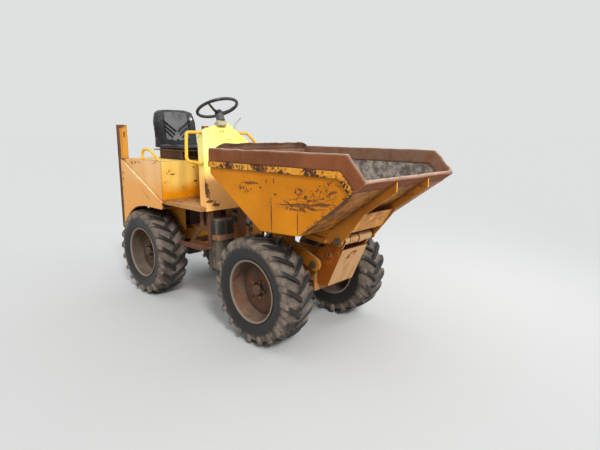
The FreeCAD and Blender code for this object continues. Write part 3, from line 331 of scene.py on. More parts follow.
def makeRuns():
    tree, start, end = newGroup("verticalRuns", {"Vector": None, "Scale": 16.0}, ["Mask"])
    thin = addNode(tree, "ShaderNodeMapping", {"Vector": start["Vector"], "Scale": (1.0, 1.0, 0.06)}).outputs[0]
    runs = noiseOf(tree, thin, start["Scale"], 5.0, 0.6)
    tree.links.new(rampOf(tree, runs, 0.50, 0.68), end["Mask"])
    return tree


def makeRustColour():
    tree, start, end = newGroup("rustColour", {"Vector": None}, ["Color", "Height"])
    broad = noiseOf(tree, start["Vector"], 9.0, 6.0, 0.6)
    fine = noiseOf(tree, start["Vector"], 85.0, 6.0, 0.7)
    dark = mixOf(tree, rampOf(tree, broad, 0.35, 0.65), (0.052, 0.022, 0.012), (0.16, 0.058, 0.026))
    tone = mixOf(tree, rampOf(tree, fine, 0.48, 0.72), dark, (0.28, 0.115, 0.05))
    tree.links.new(tone, end["Color"])
    tree.links.new(fine, end["Height"])
    return tree


def makeMud():
    tree, start, end = newGroup("mudLow", {"Vector": None, "Top": 0.5, "Spread": 0.35}, ["Mask"])
    height = addNode(tree, "ShaderNodeSeparateXYZ", {0: start["Vector"]}).outputs[2]
    wander = noiseOf(tree, start["Vector"], 7.0, 7.0, 0.65)
    low = minus(tree, start["Top"], start["Spread"])
    rise = addNode(tree, "ShaderNodeMapRange", {0: height, 1: low, 2: start["Top"], 3: 0.75, 4: 0.0}).outputs[0]
    both = plus(tree, rise, wander)
    tree.links.new(rampOf(tree, both, 0.72, 1.05), end["Mask"])
    return tree


def makeMark():
    tree, start, end = newGroup("markDistance", {"Vector": None, "Place": None, "Size": None, "Turn": 0.0}, ["Far"])
    away = addNode(tree, "ShaderNodeVectorMath", {0: start["Vector"], 1: start["Place"]}, operation="SUBTRACT")
    turned = addNode(tree, "ShaderNodeVectorRotate", {"Vector": away.outputs[0], "Angle": start["Turn"]},
                     rotation_type="Y_AXIS")
    scaled = addNode(tree, "ShaderNodeVectorMath", {0: turned.outputs[0], 1: start["Size"]}, operation="DIVIDE")
    far = addNode(tree, "ShaderNodeVectorMath", {0: scaled.outputs[0]}, operation="LENGTH").outputs["Value"]
    tree.links.new(far, end["Far"])
    return tree


def makeFacing():
    tree, start, end = newGroup("facingMasks", {}, ["Front", "Under", "Top"])
    parts = addNode(tree, "ShaderNodeSeparateXYZ", {0: ownNormal(tree)}).outputs
    tree.links.new(rampOf(tree, parts[0], 0.30, 0.45), end["Front"])
    tree.links.new(rampOf(tree, parts[2], -0.15, -0.30), end["Under"])
    tree.links.new(rampOf(tree, parts[2], 0.60, 0.80), end["Top"])
    return tree


# Darker where nearby surfaces close in (ambient occlusion): painted shade in corners and gaps, with some dirt
def makeCrevice():
    tree, start, end = newGroup("creviceShadeAndDirt", {"Vector": None, "Reach": 0.05}, ["Mask"])
    openness = addNode(tree, "ShaderNodeAmbientOcclusion", {"Distance": start["Reach"]}, samples=4).outputs["AO"]
    wander = noiseOf(tree, start["Vector"], 28.0, 5.0, 0.65)
    closed = minus(tree, 1.0, openness)
    both = plus(tree, closed, times(tree, wander, 0.4))
    tree.links.new(rampOf(tree, both, 0.42, 0.85), end["Mask"])
    return tree


def makeSettled():
    tree, start, end = newGroup("settledDust", {"Vector": None}, ["Mask"])
    level = addNode(tree, "ShaderNodeSeparateXYZ", {0: ownNormal(tree)}).outputs[2]
    wander = noiseOf(tree, start["Vector"], 11.0, 6.0, 0.6)
    both = times(tree, rampOf(tree, level, 0.5, 0.95), rampOf(tree, wander, 0.34, 0.68))
    tree.links.new(both, end["Mask"])
    return tree


def makeInside():
    tree, start, end = newGroup("skipInside", {"Vector": None}, ["Mask"])
    place = addNode(tree, "ShaderNodeSeparateXYZ", {0: start["Vector"]}).outputs
    facing = addNode(tree, "ShaderNodeSeparateXYZ", {0: ownNormal(tree)}).outputs
    up = mathOf(tree, "GREATER_THAN", facing[2], 0.2)
    side = times(tree, mathOf(tree, "GREATER_THAN", mathOf(tree, "ABSOLUTE", facing[1]), 0.5),
                  mathOf(tree, "LESS_THAN", mathOf(tree, "ABSOLUTE", place[1]), skipSideY))
    rear = times(tree, mathOf(tree, "GREATER_THAN", facing[0], 0.5),
                  mathOf(tree, "GREATER_THAN", place[0], skipRearX + 0.003))
    rear = times(tree, rear, mathOf(tree, "LESS_THAN", place[0], 0.2))
    tree.links.new(larger(tree, up, larger(tree, side, rear)), end["Mask"])
    return tree


patches = makePatches()
markDistance = makeMark()
facingMasks = makeFacing()
creviceShadeAndDirt = makeCrevice()
settledDust = makeSettled()
skipInside = makeInside()
edges = makeEdges()
runs = makeRuns()
rustColour = makeRustColour()
mudLow = makeMud()


def groupOf(tree, group, inputs):
    return addNode(tree, "ShaderNodeGroup", inputs, node_tree=group).outputs


def startMaterial(name, metallic=0.0, specular=0.5):
    material = bpy.data.materials.new(name)
    material.use_nodes = True
    tree = material.node_tree
    tree.nodes.clear()
    shader = addNode(tree, "ShaderNodeBsdfPrincipled", {"Metallic": metallic, "Specular IOR Level": specular})
    out = addNode(tree, "ShaderNodeOutputMaterial", {0: shader.outputs[0]})
    coords = addNode(tree, "ShaderNodeTexCoord").outputs["Object"]
    return material, tree, shader, coords


def plug(tree, shader, color, rough, height=None, strength=0.3, distance=0.002, normal=None):
    tree.links.new(color, shader.inputs["Base Color"])
    if isinstance(rough, float):
        shader.inputs["Roughness"].default_value = rough
    else:
        tree.links.new(rough, shader.inputs["Roughness"])
    if height is not None:
        bump = addNode(tree, "ShaderNodeBump", {"Height": height, "Strength": strength, "Distance": distance})
        if normal is not None:
            tree.links.new(normal, bump.inputs["Normal"])
        tree.links.new(bump.outputs[0], shader.inputs["Normal"])


def marksOf(tree, coords, marks, depth):
    ragged = times(tree, noiseOf(tree, coords, 70.0, 6.0, 0.8), 2.6)
    stretched = addNode(tree, "ShaderNodeMapping", {"Vector": coords, "Scale": (0.13, 1.0, 1.0),
                                                "Rotation": (0, math.radians(6), 0)}).outputs[0]
    ridge = mathOf(tree, "ABSOLUTE", minus(tree, noiseOf(tree, stretched, 48.0, 4.0, 0.6), 0.5))
    web = rampOf(tree, ridge, 0.046, 0.028)
    flecks = rampOf(tree, noiseOf(tree, coords, 62.0, 5.0, 0.65), 0.535, 0.565)
    total = None
    for x, y, z, along, across, turn, kind in marks:
        far = groupOf(tree, markDistance, {"Vector": coords, "Place": (x, y, z), "Size": (along, depth, across),
                                           "Turn": math.radians(turn)})["Far"]
        mask = rampOf(tree, plus(tree, far, ragged), 2.35, 2.15)
        if kind == "web":
            mask = times(tree, mask, web)
        if kind == "flecks":
            mask = times(tree, mask, flecks)
        total = mask if total is None else larger(tree, total, mask)
    return total


def paintedMetal(name, look):
    material, tree, shader, coords = startMaterial(name, 0.0, look["gloss"])
    fade = rampOf(tree, noiseOf(tree, coords, look["fadeScale"], 5.0), 0.35, 0.68)
    body = mixOf(tree, fade, look["fresh"], look["faded"])
    if "low" in look:                                      # another tone below a height; on the cowl and the seat box it is a painted shadow
        height = addNode(tree, "ShaderNodeSeparateXYZ", {0: coords}).outputs[2]
        lower = rampOf(tree, plus(tree, height, times(tree, fade, 0.05)),
                       look["lowTop"] + 0.06, look["lowTop"] - 0.08)
        body = mixOf(tree, lower, body, look["low"])
    facing = groupOf(tree, facingMasks, {})
    if "front" in look:                                    # a lighter tone on faces that look ahead: painted sunlight
        body = mixOf(tree, facing["Front"], body, look["front"])
    if "cream" in look:                                    # pale line along a seam: a painted highlight where a plate's edge catches the light
        x, y, z, along, across, turn = look["cream"]
        far = groupOf(tree, markDistance, {"Vector": coords, "Place": (x, y, z), "Size": (along, 0.03, across),
                                           "Turn": math.radians(turn)})["Far"]
        body = mixOf(tree, rampOf(tree, far, 1.1, 0.7), body, (0.98, 0.80, 0.42))
    grime = groupOf(tree, runs, {"Vector": coords, "Scale": 15.0})["Mask"]
    body = mixOf(tree, times(tree, grime, look["runs"]), body, look["grime"])
    mottle = rampOf(tree, noiseOf(tree, coords, 60.0, 6.0, 0.7), 0.35, 0.75)
    body = mixOf(tree, times(tree, mottle, 0.12), body, look["grime"])
    if "inner" in look:                                    # dried mortar on the load's side of the sheet
        within = groupOf(tree, skipInside, {"Vector": coords})["Mask"]
        swept = addNode(tree, "ShaderNodeMapping", {"Vector": coords, "Scale": (1.0, 0.22, 1.0),
                                                    "Rotation": (0, 0, 0.35)}).outputs[0]
        crust = noiseOf(tree, swept, 19.0, 8.0, 0.72)
        mortar = mixOf(tree, rampOf(tree, crust, 0.40, 0.64), look["inner"], look["innerPale"])
        ahead = addNode(tree, "ShaderNodeSeparateXYZ", {0: coords}).outputs[0]
        wipe = times(tree, rampOf(tree, ahead, 1.235, 1.29), rampOf(tree, crust, 0.30, 0.50))
        mortar = mixOf(tree, wipe, mortar, (0.56, 0.41, 0.33))
        stuck = times(tree, within, rampOf(tree, noiseOf(tree, coords, 6.0, 7.0, 0.7), 0.30, 0.40))
        body = mixOf(tree, stuck, body, mortar)
    edge = groupOf(tree, edges, {"Vector": coords, "Radius": look["edge"], "Scale": 24.0})
    spots = groupOf(tree, patches, {"Vector": coords, "Region Scale": look["regionScale"],
                                    "Spot Scale": look["spotScale"], "Amount": look["rust"]})["Mask"]
    bare = larger(tree, spots, times(tree, edge["Mask"], look["edgeWear"]))
    if look["marks"]:
        drawn = marksOf(tree, coords, look["marks"], look["markDepth"])
        bare = larger(tree, bare, times(tree, drawn, 0.92))
    rust = groupOf(tree, rustColour, {"Vector": coords})
    color = mixOf(tree, bare, body, rust["Color"])
    halo = groupOf(tree, patches, {"Vector": coords, "Region Scale": look["regionScale"],
                                   "Spot Scale": look["spotScale"], "Amount": look["rust"] + 0.10})["Mask"]
    stain = times(tree, minus(tree, halo, bare), 0.35)
    color = mixOf(tree, larger(tree, stain, 0.0), color, look["stain"])
    # painted shade and dirt in corners and gaps
    shadeAndDirt = times(tree, groupOf(tree, creviceShadeAndDirt, {"Vector": coords})["Mask"], look["crevice"])
    color = mixOf(tree, shadeAndDirt, color, (0.085, 0.055, 0.035))
    if "under" in look:                                    # splashed dirt and painted shade on the sheets that look down
        splash = rampOf(tree, noiseOf(tree, coords, 9.0, 8.0, 0.7), 0.30, 0.62)
        splash = times(tree, times(tree, splash, facing["Under"]), look["under"])
        color = mixOf(tree, splash, color, (0.135, 0.078, 0.034))
        # dark blotches on the sheets that look down: painted shade
        underShade = rampOf(tree, noiseOf(tree, coords, 26.0, 6.0, 0.7), 0.53, 0.60)
        underShade = times(tree, times(tree, underShade, facing["Under"]), look["under"])
        color = mixOf(tree, underShade, color, (0.060, 0.028, 0.014))
    dust = times(tree, groupOf(tree, settledDust, {"Vector": coords})["Mask"], look["dust"])
    color = mixOf(tree, dust, color, (0.30, 0.245, 0.185))
    mud = groupOf(tree, mudLow, {"Vector": coords, "Top": look["mudTop"], "Spread": 0.4})["Mask"]
    mud = times(tree, mud, look["mud"])
    color = mixOf(tree, mud, color, look["mudColor"])
    if "lip" in look:                                      # paler dust on the rim's flange
        lip = addNode(tree, "ShaderNodeAttribute", attribute_name="lip").outputs["Fac"]
        color = mixOf(tree, times(tree, lip, 0.8), color, look["lip"])
    rough = plus(tree, look["rough"], times(tree, bare, 0.3))
    rough = plus(tree, rough, times(tree, mottle, 0.12))
    rough = larger(tree, rough, times(tree, larger(tree, mud, dust), 0.9))
    pits = times(tree, rust["Height"], bare)
    height = minus(tree, times(tree, pits, 0.6), times(tree, bare, 0.5))
    height = plus(tree, height, times(tree, noiseOf(tree, coords, 4.0, 2.0), look["dents"]))
    if "inner" in look:
        height = plus(tree, height, times(tree, times(tree, crust, stuck), 2.5))
    plug(tree, shader, color, rough, height, 0.55, 0.003, edge["Normal"])
    return material


def rustedMetal(name, look):
    material, tree, shader, coords = startMaterial(name, 0.0, 0.22)
    rust = groupOf(tree, rustColour, {"Vector": coords})
    broad = rampOf(tree, noiseOf(tree, coords, look["scale"], 5.0), 0.3, 0.7)
    film = mixOf(tree, broad, look["dark"], look["light"])
    color = mixOf(tree, look["grain"], film, rust["Color"])
    grime = groupOf(tree, runs, {"Vector": coords, "Scale": 18.0})["Mask"]
    color = mixOf(tree, times(tree, grime, 0.35), color, look["runs"])
    left = groupOf(tree, patches, {"Vector": coords, "Region Scale": 4.0, "Spot Scale": 18.0,
                                   "Amount": look["paintLeft"]})["Mask"]
    color = mixOf(tree, left, color, look["paint"])
    edge = groupOf(tree, edges, {"Vector": coords, "Radius": 0.006, "Scale": 30.0})
    color = mixOf(tree, times(tree, edge["Mask"], look["edge"]), color, look["edgeColor"])
    if "pale" in look:                                     # dust on the tops, dried splashes on the load's side
        facing = groupOf(tree, facingMasks, {})
        crown = addNode(tree, "ShaderNodeNewGeometry").outputs["Pointiness"]
        crest = times(tree, rampOf(tree, crown, 0.53, 0.58), 0.5)
        within = groupOf(tree, skipInside, {"Vector": coords})["Mask"]
        splash = times(tree, within, rampOf(tree, noiseOf(tree, coords, 13.0, 8.0, 0.7), 0.25, 0.60))
        color = mixOf(tree, times(tree, splash, 0.75), color, look["splash"])
        top = times(tree, facing["Top"], rampOf(tree, noiseOf(tree, coords, 22.0, 7.0, 0.7), 0.20, 0.60))
        color = mixOf(tree, larger(tree, top, crest), color, look["pale"])
    rough = plus(tree, 0.62, times(tree, rust["Height"], 0.3))
    height = plus(tree, rust["Height"], times(tree, noiseOf(tree, coords, 6.0, 3.0), 2.0))
    plug(tree, shader, color, rough, height, 0.55, 0.0022, edge["Normal"])
    return material


orangePaint = {"fresh": (0.64, 0.22, 0.006), "faded": (0.76, 0.30, 0.016), "grime": (0.36, 0.15, 0.02),
               "stain": (0.42, 0.14, 0.02), "fadeScale": 2.2, "runs": 0.3, "rust": 0.34, "regionScale": 3.0,
               "spotScale": 24.0, "edge": 0.004, "edgeWear": 0.75, "mudTop": 0.55, "mud": 0.8,
               "mudColor": (0.19, 0.145, 0.10), "rough": 0.44, "gloss": 0.16, "crevice": 0.7, "dust": 0.4, "dents": 1.4,
               "marks": [], "markDepth": 0.06}

# Scratches and chips seen on the right side: x, y, z, half length, half height, slope in degrees, kind
skipMarks = [
    (0.459, -0.476, 1.089, 0.075, 0.0095, 4, "dash"), (0.608, -0.476, 1.107, 0.018, 0.0055, 78, "dash"),
    (0.675, -0.476, 1.117, 0.016, 0.0050, 83, "dash"), (0.362, -0.476, 1.048, 0.013, 0.010, 6, "dash"),
    (0.556, -0.476, 1.066, 0.010, 0.008, 4, "dash"), (0.900, -0.476, 1.081, 0.030, 0.0055, -21, "dash"),
    (0.688, -0.476, 1.036, 0.013, 0.007, 3, "dash"), (0.858, -0.476, 0.992, 0.150, 0.0060, 6, "dash"),
    (1.050, -0.476, 1.011, 0.080, 0.0085, 6, "dash"), (0.815, -0.476, 0.987, 0.040, 0.0060, -32, "dash"),
    (0.653, -0.476, 0.899, 0.115, 0.0062, 91, "dash"), (0.878, -0.476, 0.888, 0.080, 0.0045, 90, "dash"),
    (1.136, -0.476, 1.085, 0.030, 0.0080, 18, "dash"), (0.930, -0.476, 0.998, 0.22, 0.045, 6, "web"),
    (0.640, -0.476, 0.985, 0.030, 0.012, 60, "web"), (1.080, -0.476, 1.075, 0.15, 0.060, 30, "flecks"),
    (1.090, -0.476, 0.955, 0.28, 0.020, 38, "flecks"), (1.100, -0.476, 0.955, 0.26, 0.0075, 38, "dash"),
    (0.400, -0.476, 1.060, 0.10, 0.045, 0, "flecks"), (0.940, -0.476, 1.060, 0.12, 0.030, 0, "flecks"),
]
cowlMarks = [
    (-0.220, -0.364, 1.005, 0.110, 0.0042, -60, "dash"), (-0.154, -0.360, 0.889, 0.012, 0.012, 0, "dash"),
    (-0.137, -0.313, 0.860, 0.013, 0.012, 0, "dash"), (-0.413, 0.048, 1.343, 0.020, 0.009, 0, "flecks"),
    (-0.150, -0.310, 0.880, 0.060, 0.036, 10, "flecks"), (-0.190, -0.250, 0.905, 0.016, 0.012, 20, "dash"),
    (-0.440, 0.0, 1.405, 0.060, 0.016, 0, "flecks"),
]
boxMarks = [
    (-0.672, -0.400, 1.085, 0.022, 0.030, 90, "flecks"), (-0.672, -0.356, 1.060, 0.007, 0.014, 90, "dash"),
    (-0.672, -0.152, 1.099, 0.016, 0.022, 90, "flecks"), (-0.672, -0.134, 0.990, 0.010, 0.016, 90, "dash"),
    (-0.672, -0.420, 1.000, 0.014, 0.020, 90, "flecks"),
]
sideMarks = [
    (-1.086, -0.455, 1.140, 0.130, 0.016, 2, "flecks"), (-0.786, -0.455, 1.153, 0.060, 0.013, 2, "flecks"),
    (-1.298, -0.480, 1.043, 0.016, 0.010, 0, "dash"), (-1.300, -0.480, 0.989, 0.014, 0.008, 0, "dash"),
    (-0.90, -0.480, 0.880, 0.080, 0.007, -30, "web"), (-1.31, -0.480, 0.900, 0.200, 0.012, 90, "flecks"),
]


def paintLike(**changes):
    return {**orangePaint, **changes}


# the chute's underside is darkened: dirt and painted shade
skipPaint = paintedMetal("skipPaint", paintLike(
    rust=0.34, fresh=(0.60, 0.190, 0.0016), faded=(0.71, 0.248, 0.0030), edgeWear=0.9, marks=skipMarks,
    inner=(0.15, 0.125, 0.104), innerPale=(0.46, 0.40, 0.345), runs=0.22, dust=0.0, mudTop=0.3, under=0.85,
    grime=(0.40, 0.125, 0.004)))
# dark base tones: painted shade under the chute; the lighter tone on faces that look ahead is painted sunlight
gussetPaint = paintedMetal("gussetPaint", paintLike(
    fresh=(0.33, 0.105, 0.008), faded=(0.50, 0.18, 0.018), front=(0.95, 0.38, 0.050), rust=0.42, edgeWear=1.0,
    mudTop=0.3, under=0.6))
bandPaint = paintedMetal("bandPaint", paintLike(
    fresh=(0.78, 0.32, 0.025), faded=(0.90, 0.47, 0.08), rust=0.70, regionScale=8.0, spotScale=62.0, edgeWear=1.0,
    rough=0.6))
# the cream line on the side panel is a painted highlight on an overlapping plate's edge
sidePaint = paintedMetal("sidePaint", paintLike(
    fresh=(0.80, 0.405, 0.135), faded=(0.89, 0.525, 0.235), low=(0.82, 0.38, 0.10), lowTop=1.0, rust=0.33, runs=0.15,
    rough=0.50, marks=sideMarks, grime=(0.62, 0.30, 0.09), cream=(-0.978, -0.4805, 0.9945, 0.366, 0.0055, -25.5)))
# the tan tone below 1.13 m is the skip's shadow, painted onto the cowl
cowlPaint = paintedMetal("cowlPaint", paintLike(
    fresh=(0.90, 0.74, 0.12), faded=(0.93, 0.84, 0.27), low=(0.98, 0.50, 0.15), lowTop=1.13, rust=0.27, runs=0.10,
    marks=cowlMarks, markDepth=0.036, grime=(0.60, 0.33, 0.07)))
# the darker orange below 1.0 m is the cowl's shadow, painted onto the seat box
boxPaint = paintedMetal("boxPaint", paintLike(
    fresh=(0.88, 0.47, 0.06), faded=(0.96, 0.64, 0.15), low=(0.80, 0.29, 0.002), lowTop=1.0, rust=0.28, runs=0.12,
    marks=boxMarks, markDepth=0.020))
socketPaint = paintedMetal("socketPaint", paintLike(
    fresh=(0.67, 0.29, 0.035), faded=(0.75, 0.38, 0.08), rust=0.50, spotScale=34.0))
floorPaint = paintedMetal("floorPaint", paintLike(
    fresh=(0.41, 0.165, 0.033), faded=(0.51, 0.245, 0.075), rust=0.48, runs=0.1, dust=0.55, rough=0.6))
framePaint = paintedMetal("framePaint", paintLike(
    fresh=(0.42, 0.145, 0.010), faded=(0.58, 0.235, 0.030), rust=0.44, runs=0.5, mudTop=0.60, mud=0.9, rough=0.6,
    crevice=0.9))
# dark orange-brown base: painted shade on the tower's sides; the sandy tone on faces that look ahead holds painted
# sunlight
towerPaint = paintedMetal("towerPaint", paintLike(
    fresh=(0.27, 0.060, 0.004), faded=(0.35, 0.095, 0.009), front=(0.54, 0.305, 0.140), rust=0.56, runs=0.6,
    mudTop=0.46, mud=0.2, mudColor=(0.30, 0.17, 0.08), rough=0.6, edgeWear=1.0))
tubePaint = paintedMetal("tubePaint", paintLike(fresh=(0.84, 0.42, 0.02), faded=(0.90, 0.54, 0.06), rust=0.28))
tankPaint = paintedMetal("tankPaint", paintLike(
    fresh=(0.030, 0.032, 0.025), faded=(0.085, 0.082, 0.064), grime=(0.17, 0.14, 0.10), stain=(0.10, 0.07, 0.05),
    runs=0.7, rust=0.25, mudTop=0.72, mud=0.7, rough=0.6, dust=0.8))
strapPaint = paintedMetal("strapPaint", paintLike(
    fresh=(0.25, 0.13, 0.085), faded=(0.33, 0.19, 0.13), low=(0.075, 0.068, 0.052), lowTop=0.575, rust=0.45,
    grime=(0.12, 0.08, 0.05), mudTop=0.5, mud=0.6, rough=0.6))
# very dark rust tones and full crevice darkening: rust, with painted shade in the sunken dish
rimPaint = paintedMetal("rimPaint", paintLike(
    fresh=(0.060, 0.039, 0.027), faded=(0.115, 0.075, 0.050), grime=(0.06, 0.036, 0.024), stain=(0.12, 0.05, 0.025),
    rust=0.66, mudTop=0.62, mud=0.35, mudColor=(0.13, 0.095, 0.07), rough=0.66, spotScale=16.0, crevice=1.0,
    lip=(0.26, 0.20, 0.155)))
seatPan = rustedMetal("seatPan", {"scale": 7.0, "dark": (0.032, 0.018, 0.012), "light": (0.085, 0.044, 0.026),
                                  "grain": 0.3, "runs": (0.03, 0.02, 0.016), "paintLeft": 0.12,
                                  "paint": (0.30, 0.27, 0.24), "edge": 0.8, "edgeColor": (0.34, 0.31, 0.28)})
sheetRust = rustedMetal("sheetRust", {"scale": 3.0, "dark": (0.200, 0.058, 0.018), "light": (0.315, 0.094, 0.030),
                                      "grain": 0.26, "runs": (0.13, 0.042, 0.018), "paintLeft": 0.05,
                                      "paint": (0.6, 0.25, 0.03), "edge": 0.9, "edgeColor": (0.50, 0.26, 0.15),
                                      "pale": (0.50, 0.34, 0.25), "splash": (0.25, 0.165, 0.115)})
postRust = rustedMetal("postRust", {"scale": 8.0, "dark": (0.085, 0.032, 0.016), "light": (0.21, 0.085, 0.035),
                                    "grain": 0.5, "runs": (0.055, 0.026, 0.017), "paintLeft": 0.30,
                                    "paint": (0.56, 0.26, 0.04), "edge": 0.5, "edgeColor": (0.3, 0.16, 0.09)})
castIron = rustedMetal("castIron", {"scale": 5.0, "dark": (0.035, 0.03, 0.026), "light": (0.09, 0.075, 0.06),
                                    "grain": 0.25, "runs": (0.03, 0.025, 0.02), "paintLeft": 0.2,
                                    "paint": (0.17, 0.13, 0.095), "edge": 0.3, "edgeColor": (0.14, 0.12, 0.1)})


def bareSteel(name, color, rough, metallic):
    material, tree, shader, coords = startMaterial(name, metallic)
    wear = noiseOf(tree, coords, 30.0, 6.0, 0.65)
    rust = groupOf(tree, rustColour, {"Vector": coords})
    tone = mixOf(tree, rampOf(tree, wear, 0.5, 0.7), color, rust["Color"])
    plug(tree, shader, tone, plus(tree, rough, times(tree, wear, 0.25)),
         rust["Height"], 0.25, 0.001)
    return material


pinSteel = bareSteel("pinSteel", (0.12, 0.085, 0.065), 0.45, 0.5)
dullSteel = bareSteel("dullSteel", (0.36, 0.35, 0.34), 0.4, 0.6)


def chromeRod():
    material, tree, shader, coords = startMaterial("rodChrome", 1.0)
    film = rampOf(tree, noiseOf(tree, coords, 12.0, 5.0), 0.45, 0.75)
    tone = mixOf(tree, times(tree, film, 0.4), (0.7, 0.7, 0.71), (0.25, 0.2, 0.15))
    plug(tree, shader, tone, plus(tree, 0.12, times(tree, film, 0.3)), film, 0.1, 0.0005)
    return material


rodChrome = chromeRod()


def moulded(name, color, dust, rough):
    material, tree, shader, coords = startMaterial(name)
    grain = noiseOf(tree, coords, 260.0, 3.0, 0.6)
    film = rampOf(tree, noiseOf(tree, coords, 8.0, 6.0), 0.4, 0.75)
    tone = mixOf(tree, times(tree, film, 0.45), color, dust)
    plug(tree, shader, tone, plus(tree, rough, times(tree, film, 0.25)), grain, 0.35, 0.0006)
    return material


blackPlastic = moulded("blackPlastic", (0.016, 0.016, 0.018), (0.06, 0.057, 0.053), 0.32)
greyPlastic = moulded("greyPlastic", (0.065, 0.064, 0.062), (0.16, 0.145, 0.125), 0.5)
creamPlastic = moulded("creamPlastic", (0.46, 0.40, 0.26), (0.30, 0.27, 0.21), 0.5)
vinyl = moulded("blackVinyl", (0.016, 0.016, 0.018), (0.034, 0.034, 0.036), 0.15)


def dustyRubber():
    material, tree, shader, coords = startMaterial("dustyRubber", 0.0, 0.3)
    spot = noiseOf(tree, coords, 15.0, 8.0, 0.7)
    fine = noiseOf(tree, coords, 150.0, 4.0, 0.7)
    dark = mixOf(tree, fine, (0.012, 0.011, 0.010), (0.030, 0.027, 0.024))
    dust = mixOf(tree, rampOf(tree, spot, 0.35, 0.7), (0.100, 0.077, 0.059), (0.275, 0.212, 0.168))
    dust = mixOf(tree, times(tree, fine, 0.5), dust, (0.11, 0.085, 0.065))
    worn = addNode(tree, "ShaderNodeAttribute", attribute_name="worn").outputs["Fac"]
    cover = plus(tree, times(tree, worn, 0.75), times(tree, spot, 0.8))
    mask = rampOf(tree, cover, 0.56, 1.02)
    color = mixOf(tree, mask, dark, dust)
    # painted shade and dirt between the bars and in recesses
    shadeAndDirt = times(tree, groupOf(tree, creviceShadeAndDirt, {"Vector": coords, "Reach": 0.03})["Mask"], 0.75)
    color = mixOf(tree, shadeAndDirt, color, (0.035, 0.028, 0.022))
    rough = plus(tree, 0.42, times(tree, mask, 0.50))
    height = plus(tree, times(tree, fine, 0.6), times(tree, spot, 1.8))
    plug(tree, shader, color, rough, height, 0.6, 0.0025)
    return material


rubber = dustyRubber()
print("materials made")

# Finishes of the CAD nodes that stay: material, names
nodeFinishes = [
    (skipPaint, ["skip_tub"]),
    (gussetPaint, ["skip_gussets", "skip_ram_ears"]),
    (bandPaint, ["skip_band"]),
    (sheetRust, ["skip_extension"]),
    (towerPaint, ["front_tower"]),
    (framePaint, ["chassis_arms", "front_chassis", "rear_chassis", "pivot_yoke", "ram_barrel", "wheel_wells"]),
    (sidePaint, ["body_sides", "fenders", "top_shelves"]),
    (socketPaint, ["rollbar_sockets"]),
    (floorPaint, ["floor_plate"]),
    (boxPaint, ["seat_box_front", "engine_cover"]),
    (cowlPaint, ["cowl"]),
    (tubePaint, ["cowl_handles", "grab_handles"]),
    (postRust, ["rollbar_uprights", "steps", "rear_grille"]),
    (strapPaint, ["tank_strap"]),
    (castIron, ["front_axle", "rear_axle", "engine"]),
    (pinSteel, ["king_pin", "nose_pins", "hinge_pin", "ram_base_pin"]),
    (rodChrome, ["ram_rod"]),
    (seatPan, ["seat_base"]),
    (greyPlastic, ["steering_column"]),
    (creamPlastic, ["binnacle"]),
    (tankPaint, ["tank"]),
]
for material, names in nodeFinishes:
    for name in names:
        node = cadNodes[name]
        node.data.materials.clear()
        node.data.materials.append(material)

# Tyres: a spun carcass with bars wrapped round it
tyreSettings = {
    "lugs": 20, "steps": 80, "top": 0.372,
    "section": [(0.2066, 0.0), (0.2066, 0.070), (0.2066, 0.0975), (0.218, 0.1035), (0.240, 0.114), (0.270, 0.1215),
                (0.300, 0.1235), (0.322, 0.119), (0.336, 0.106), (0.3425, 0.085), (0.346, 0.045), (0.347, 0.0)],
    # columns: along the tread, out from the middle, radius, half width
    "bar": [(0.060, -0.002, 0.3712, 0.0135), (0.038, 0.026, 0.3716, 0.0140), (0.014, 0.056, 0.3712, 0.0150),
            (-0.010, 0.088, 0.3692, 0.0160), (-0.030, 0.113, 0.3625, 0.0170), (-0.041, 0.1275, 0.350, 0.0175),
            (-0.0445, 0.1315, 0.334, 0.0175), (-0.046, 0.1305, 0.312, 0.0165), (-0.046, 0.1240, 0.296, 0.0150)],
    "phase": 0.4167, "foot": (0.022, 0.034), "spread": 0.006,
}


# Place along the tread of the bar's middle, at the nearest point of its centre line
def barMiddle(y, r):
    best = (9.0, 0.0)
    stations = tyreSettings["bar"]
    for (u0, y0, r0, w0), (u1, y1, r1, w1) in zip(stations, stations[1:]):
        for share in (0.0, 0.25, 0.5, 0.75, 1.0):
            far = math.hypot(y0 + (y1 - y0) * share - y, r0 + (r1 - r0) * share - r)
            best = min(best, (far, u0 + (u1 - u0) * share))
    return best[1]


def tyreBar():
    stations = tyreSettings["bar"]
    u, y, r, w = stations[0]
    deselectAll()
    bpy.ops.mesh.primitive_plane_add(size=0.002, location=(u, y, r))
    bar = bakePlace(takeNew("bar"))
    mesh = bar.data
    selectWhere(bar, "VERT", lambda vert: vert.co.y > y)
    bpy.ops.mesh.delete(type="VERT")
    bpy.ops.mesh.select_all(action="SELECT")
    bpy.ops.transform.resize(value=(w / 0.001, 1, 1), center_override=(u, y, r))
    for before, after in zip(stations, stations[1:]):
        step = Vector(after[:3]) - Vector(before[:3])
        bpy.ops.mesh.extrude_region_move(TRANSFORM_OT_translate={"value": step})
        bpy.ops.transform.resize(value=(after[3] / before[3], 1, 1), center_override=after[:3])
    bpy.ops.mesh.select_all(action="SELECT")
    bpy.ops.mesh.subdivide(number_cuts=1)
    inward, down = tyreSettings["foot"]
    bpy.ops.mesh.extrude_region_move(TRANSFORM_OT_translate={"value": (0, -inward, -down)})
    closeMesh()
    for vert in mesh.vertices:
        if vert.select:                                   # foot of the bar, wider than its top
            middle = barMiddle(vert.co.y + inward, vert.co.z + down)
            vert.co.x += math.copysign(tyreSettings["spread"], vert.co.x - middle)
    turnedOut(bar)
    modify(bar, "BEVEL", width=0.0035, segments=2, limit_method="ANGLE", angle_limit=math.radians(40))
    for vert in mesh.vertices:                            # wrapped round the wheel's axis
        turn = vert.co.x / tyreSettings["top"]
        radius = vert.co.z
        vert.co.x = radius * math.sin(turn)
        vert.co.z = radius * math.cos(turn)
    return bar


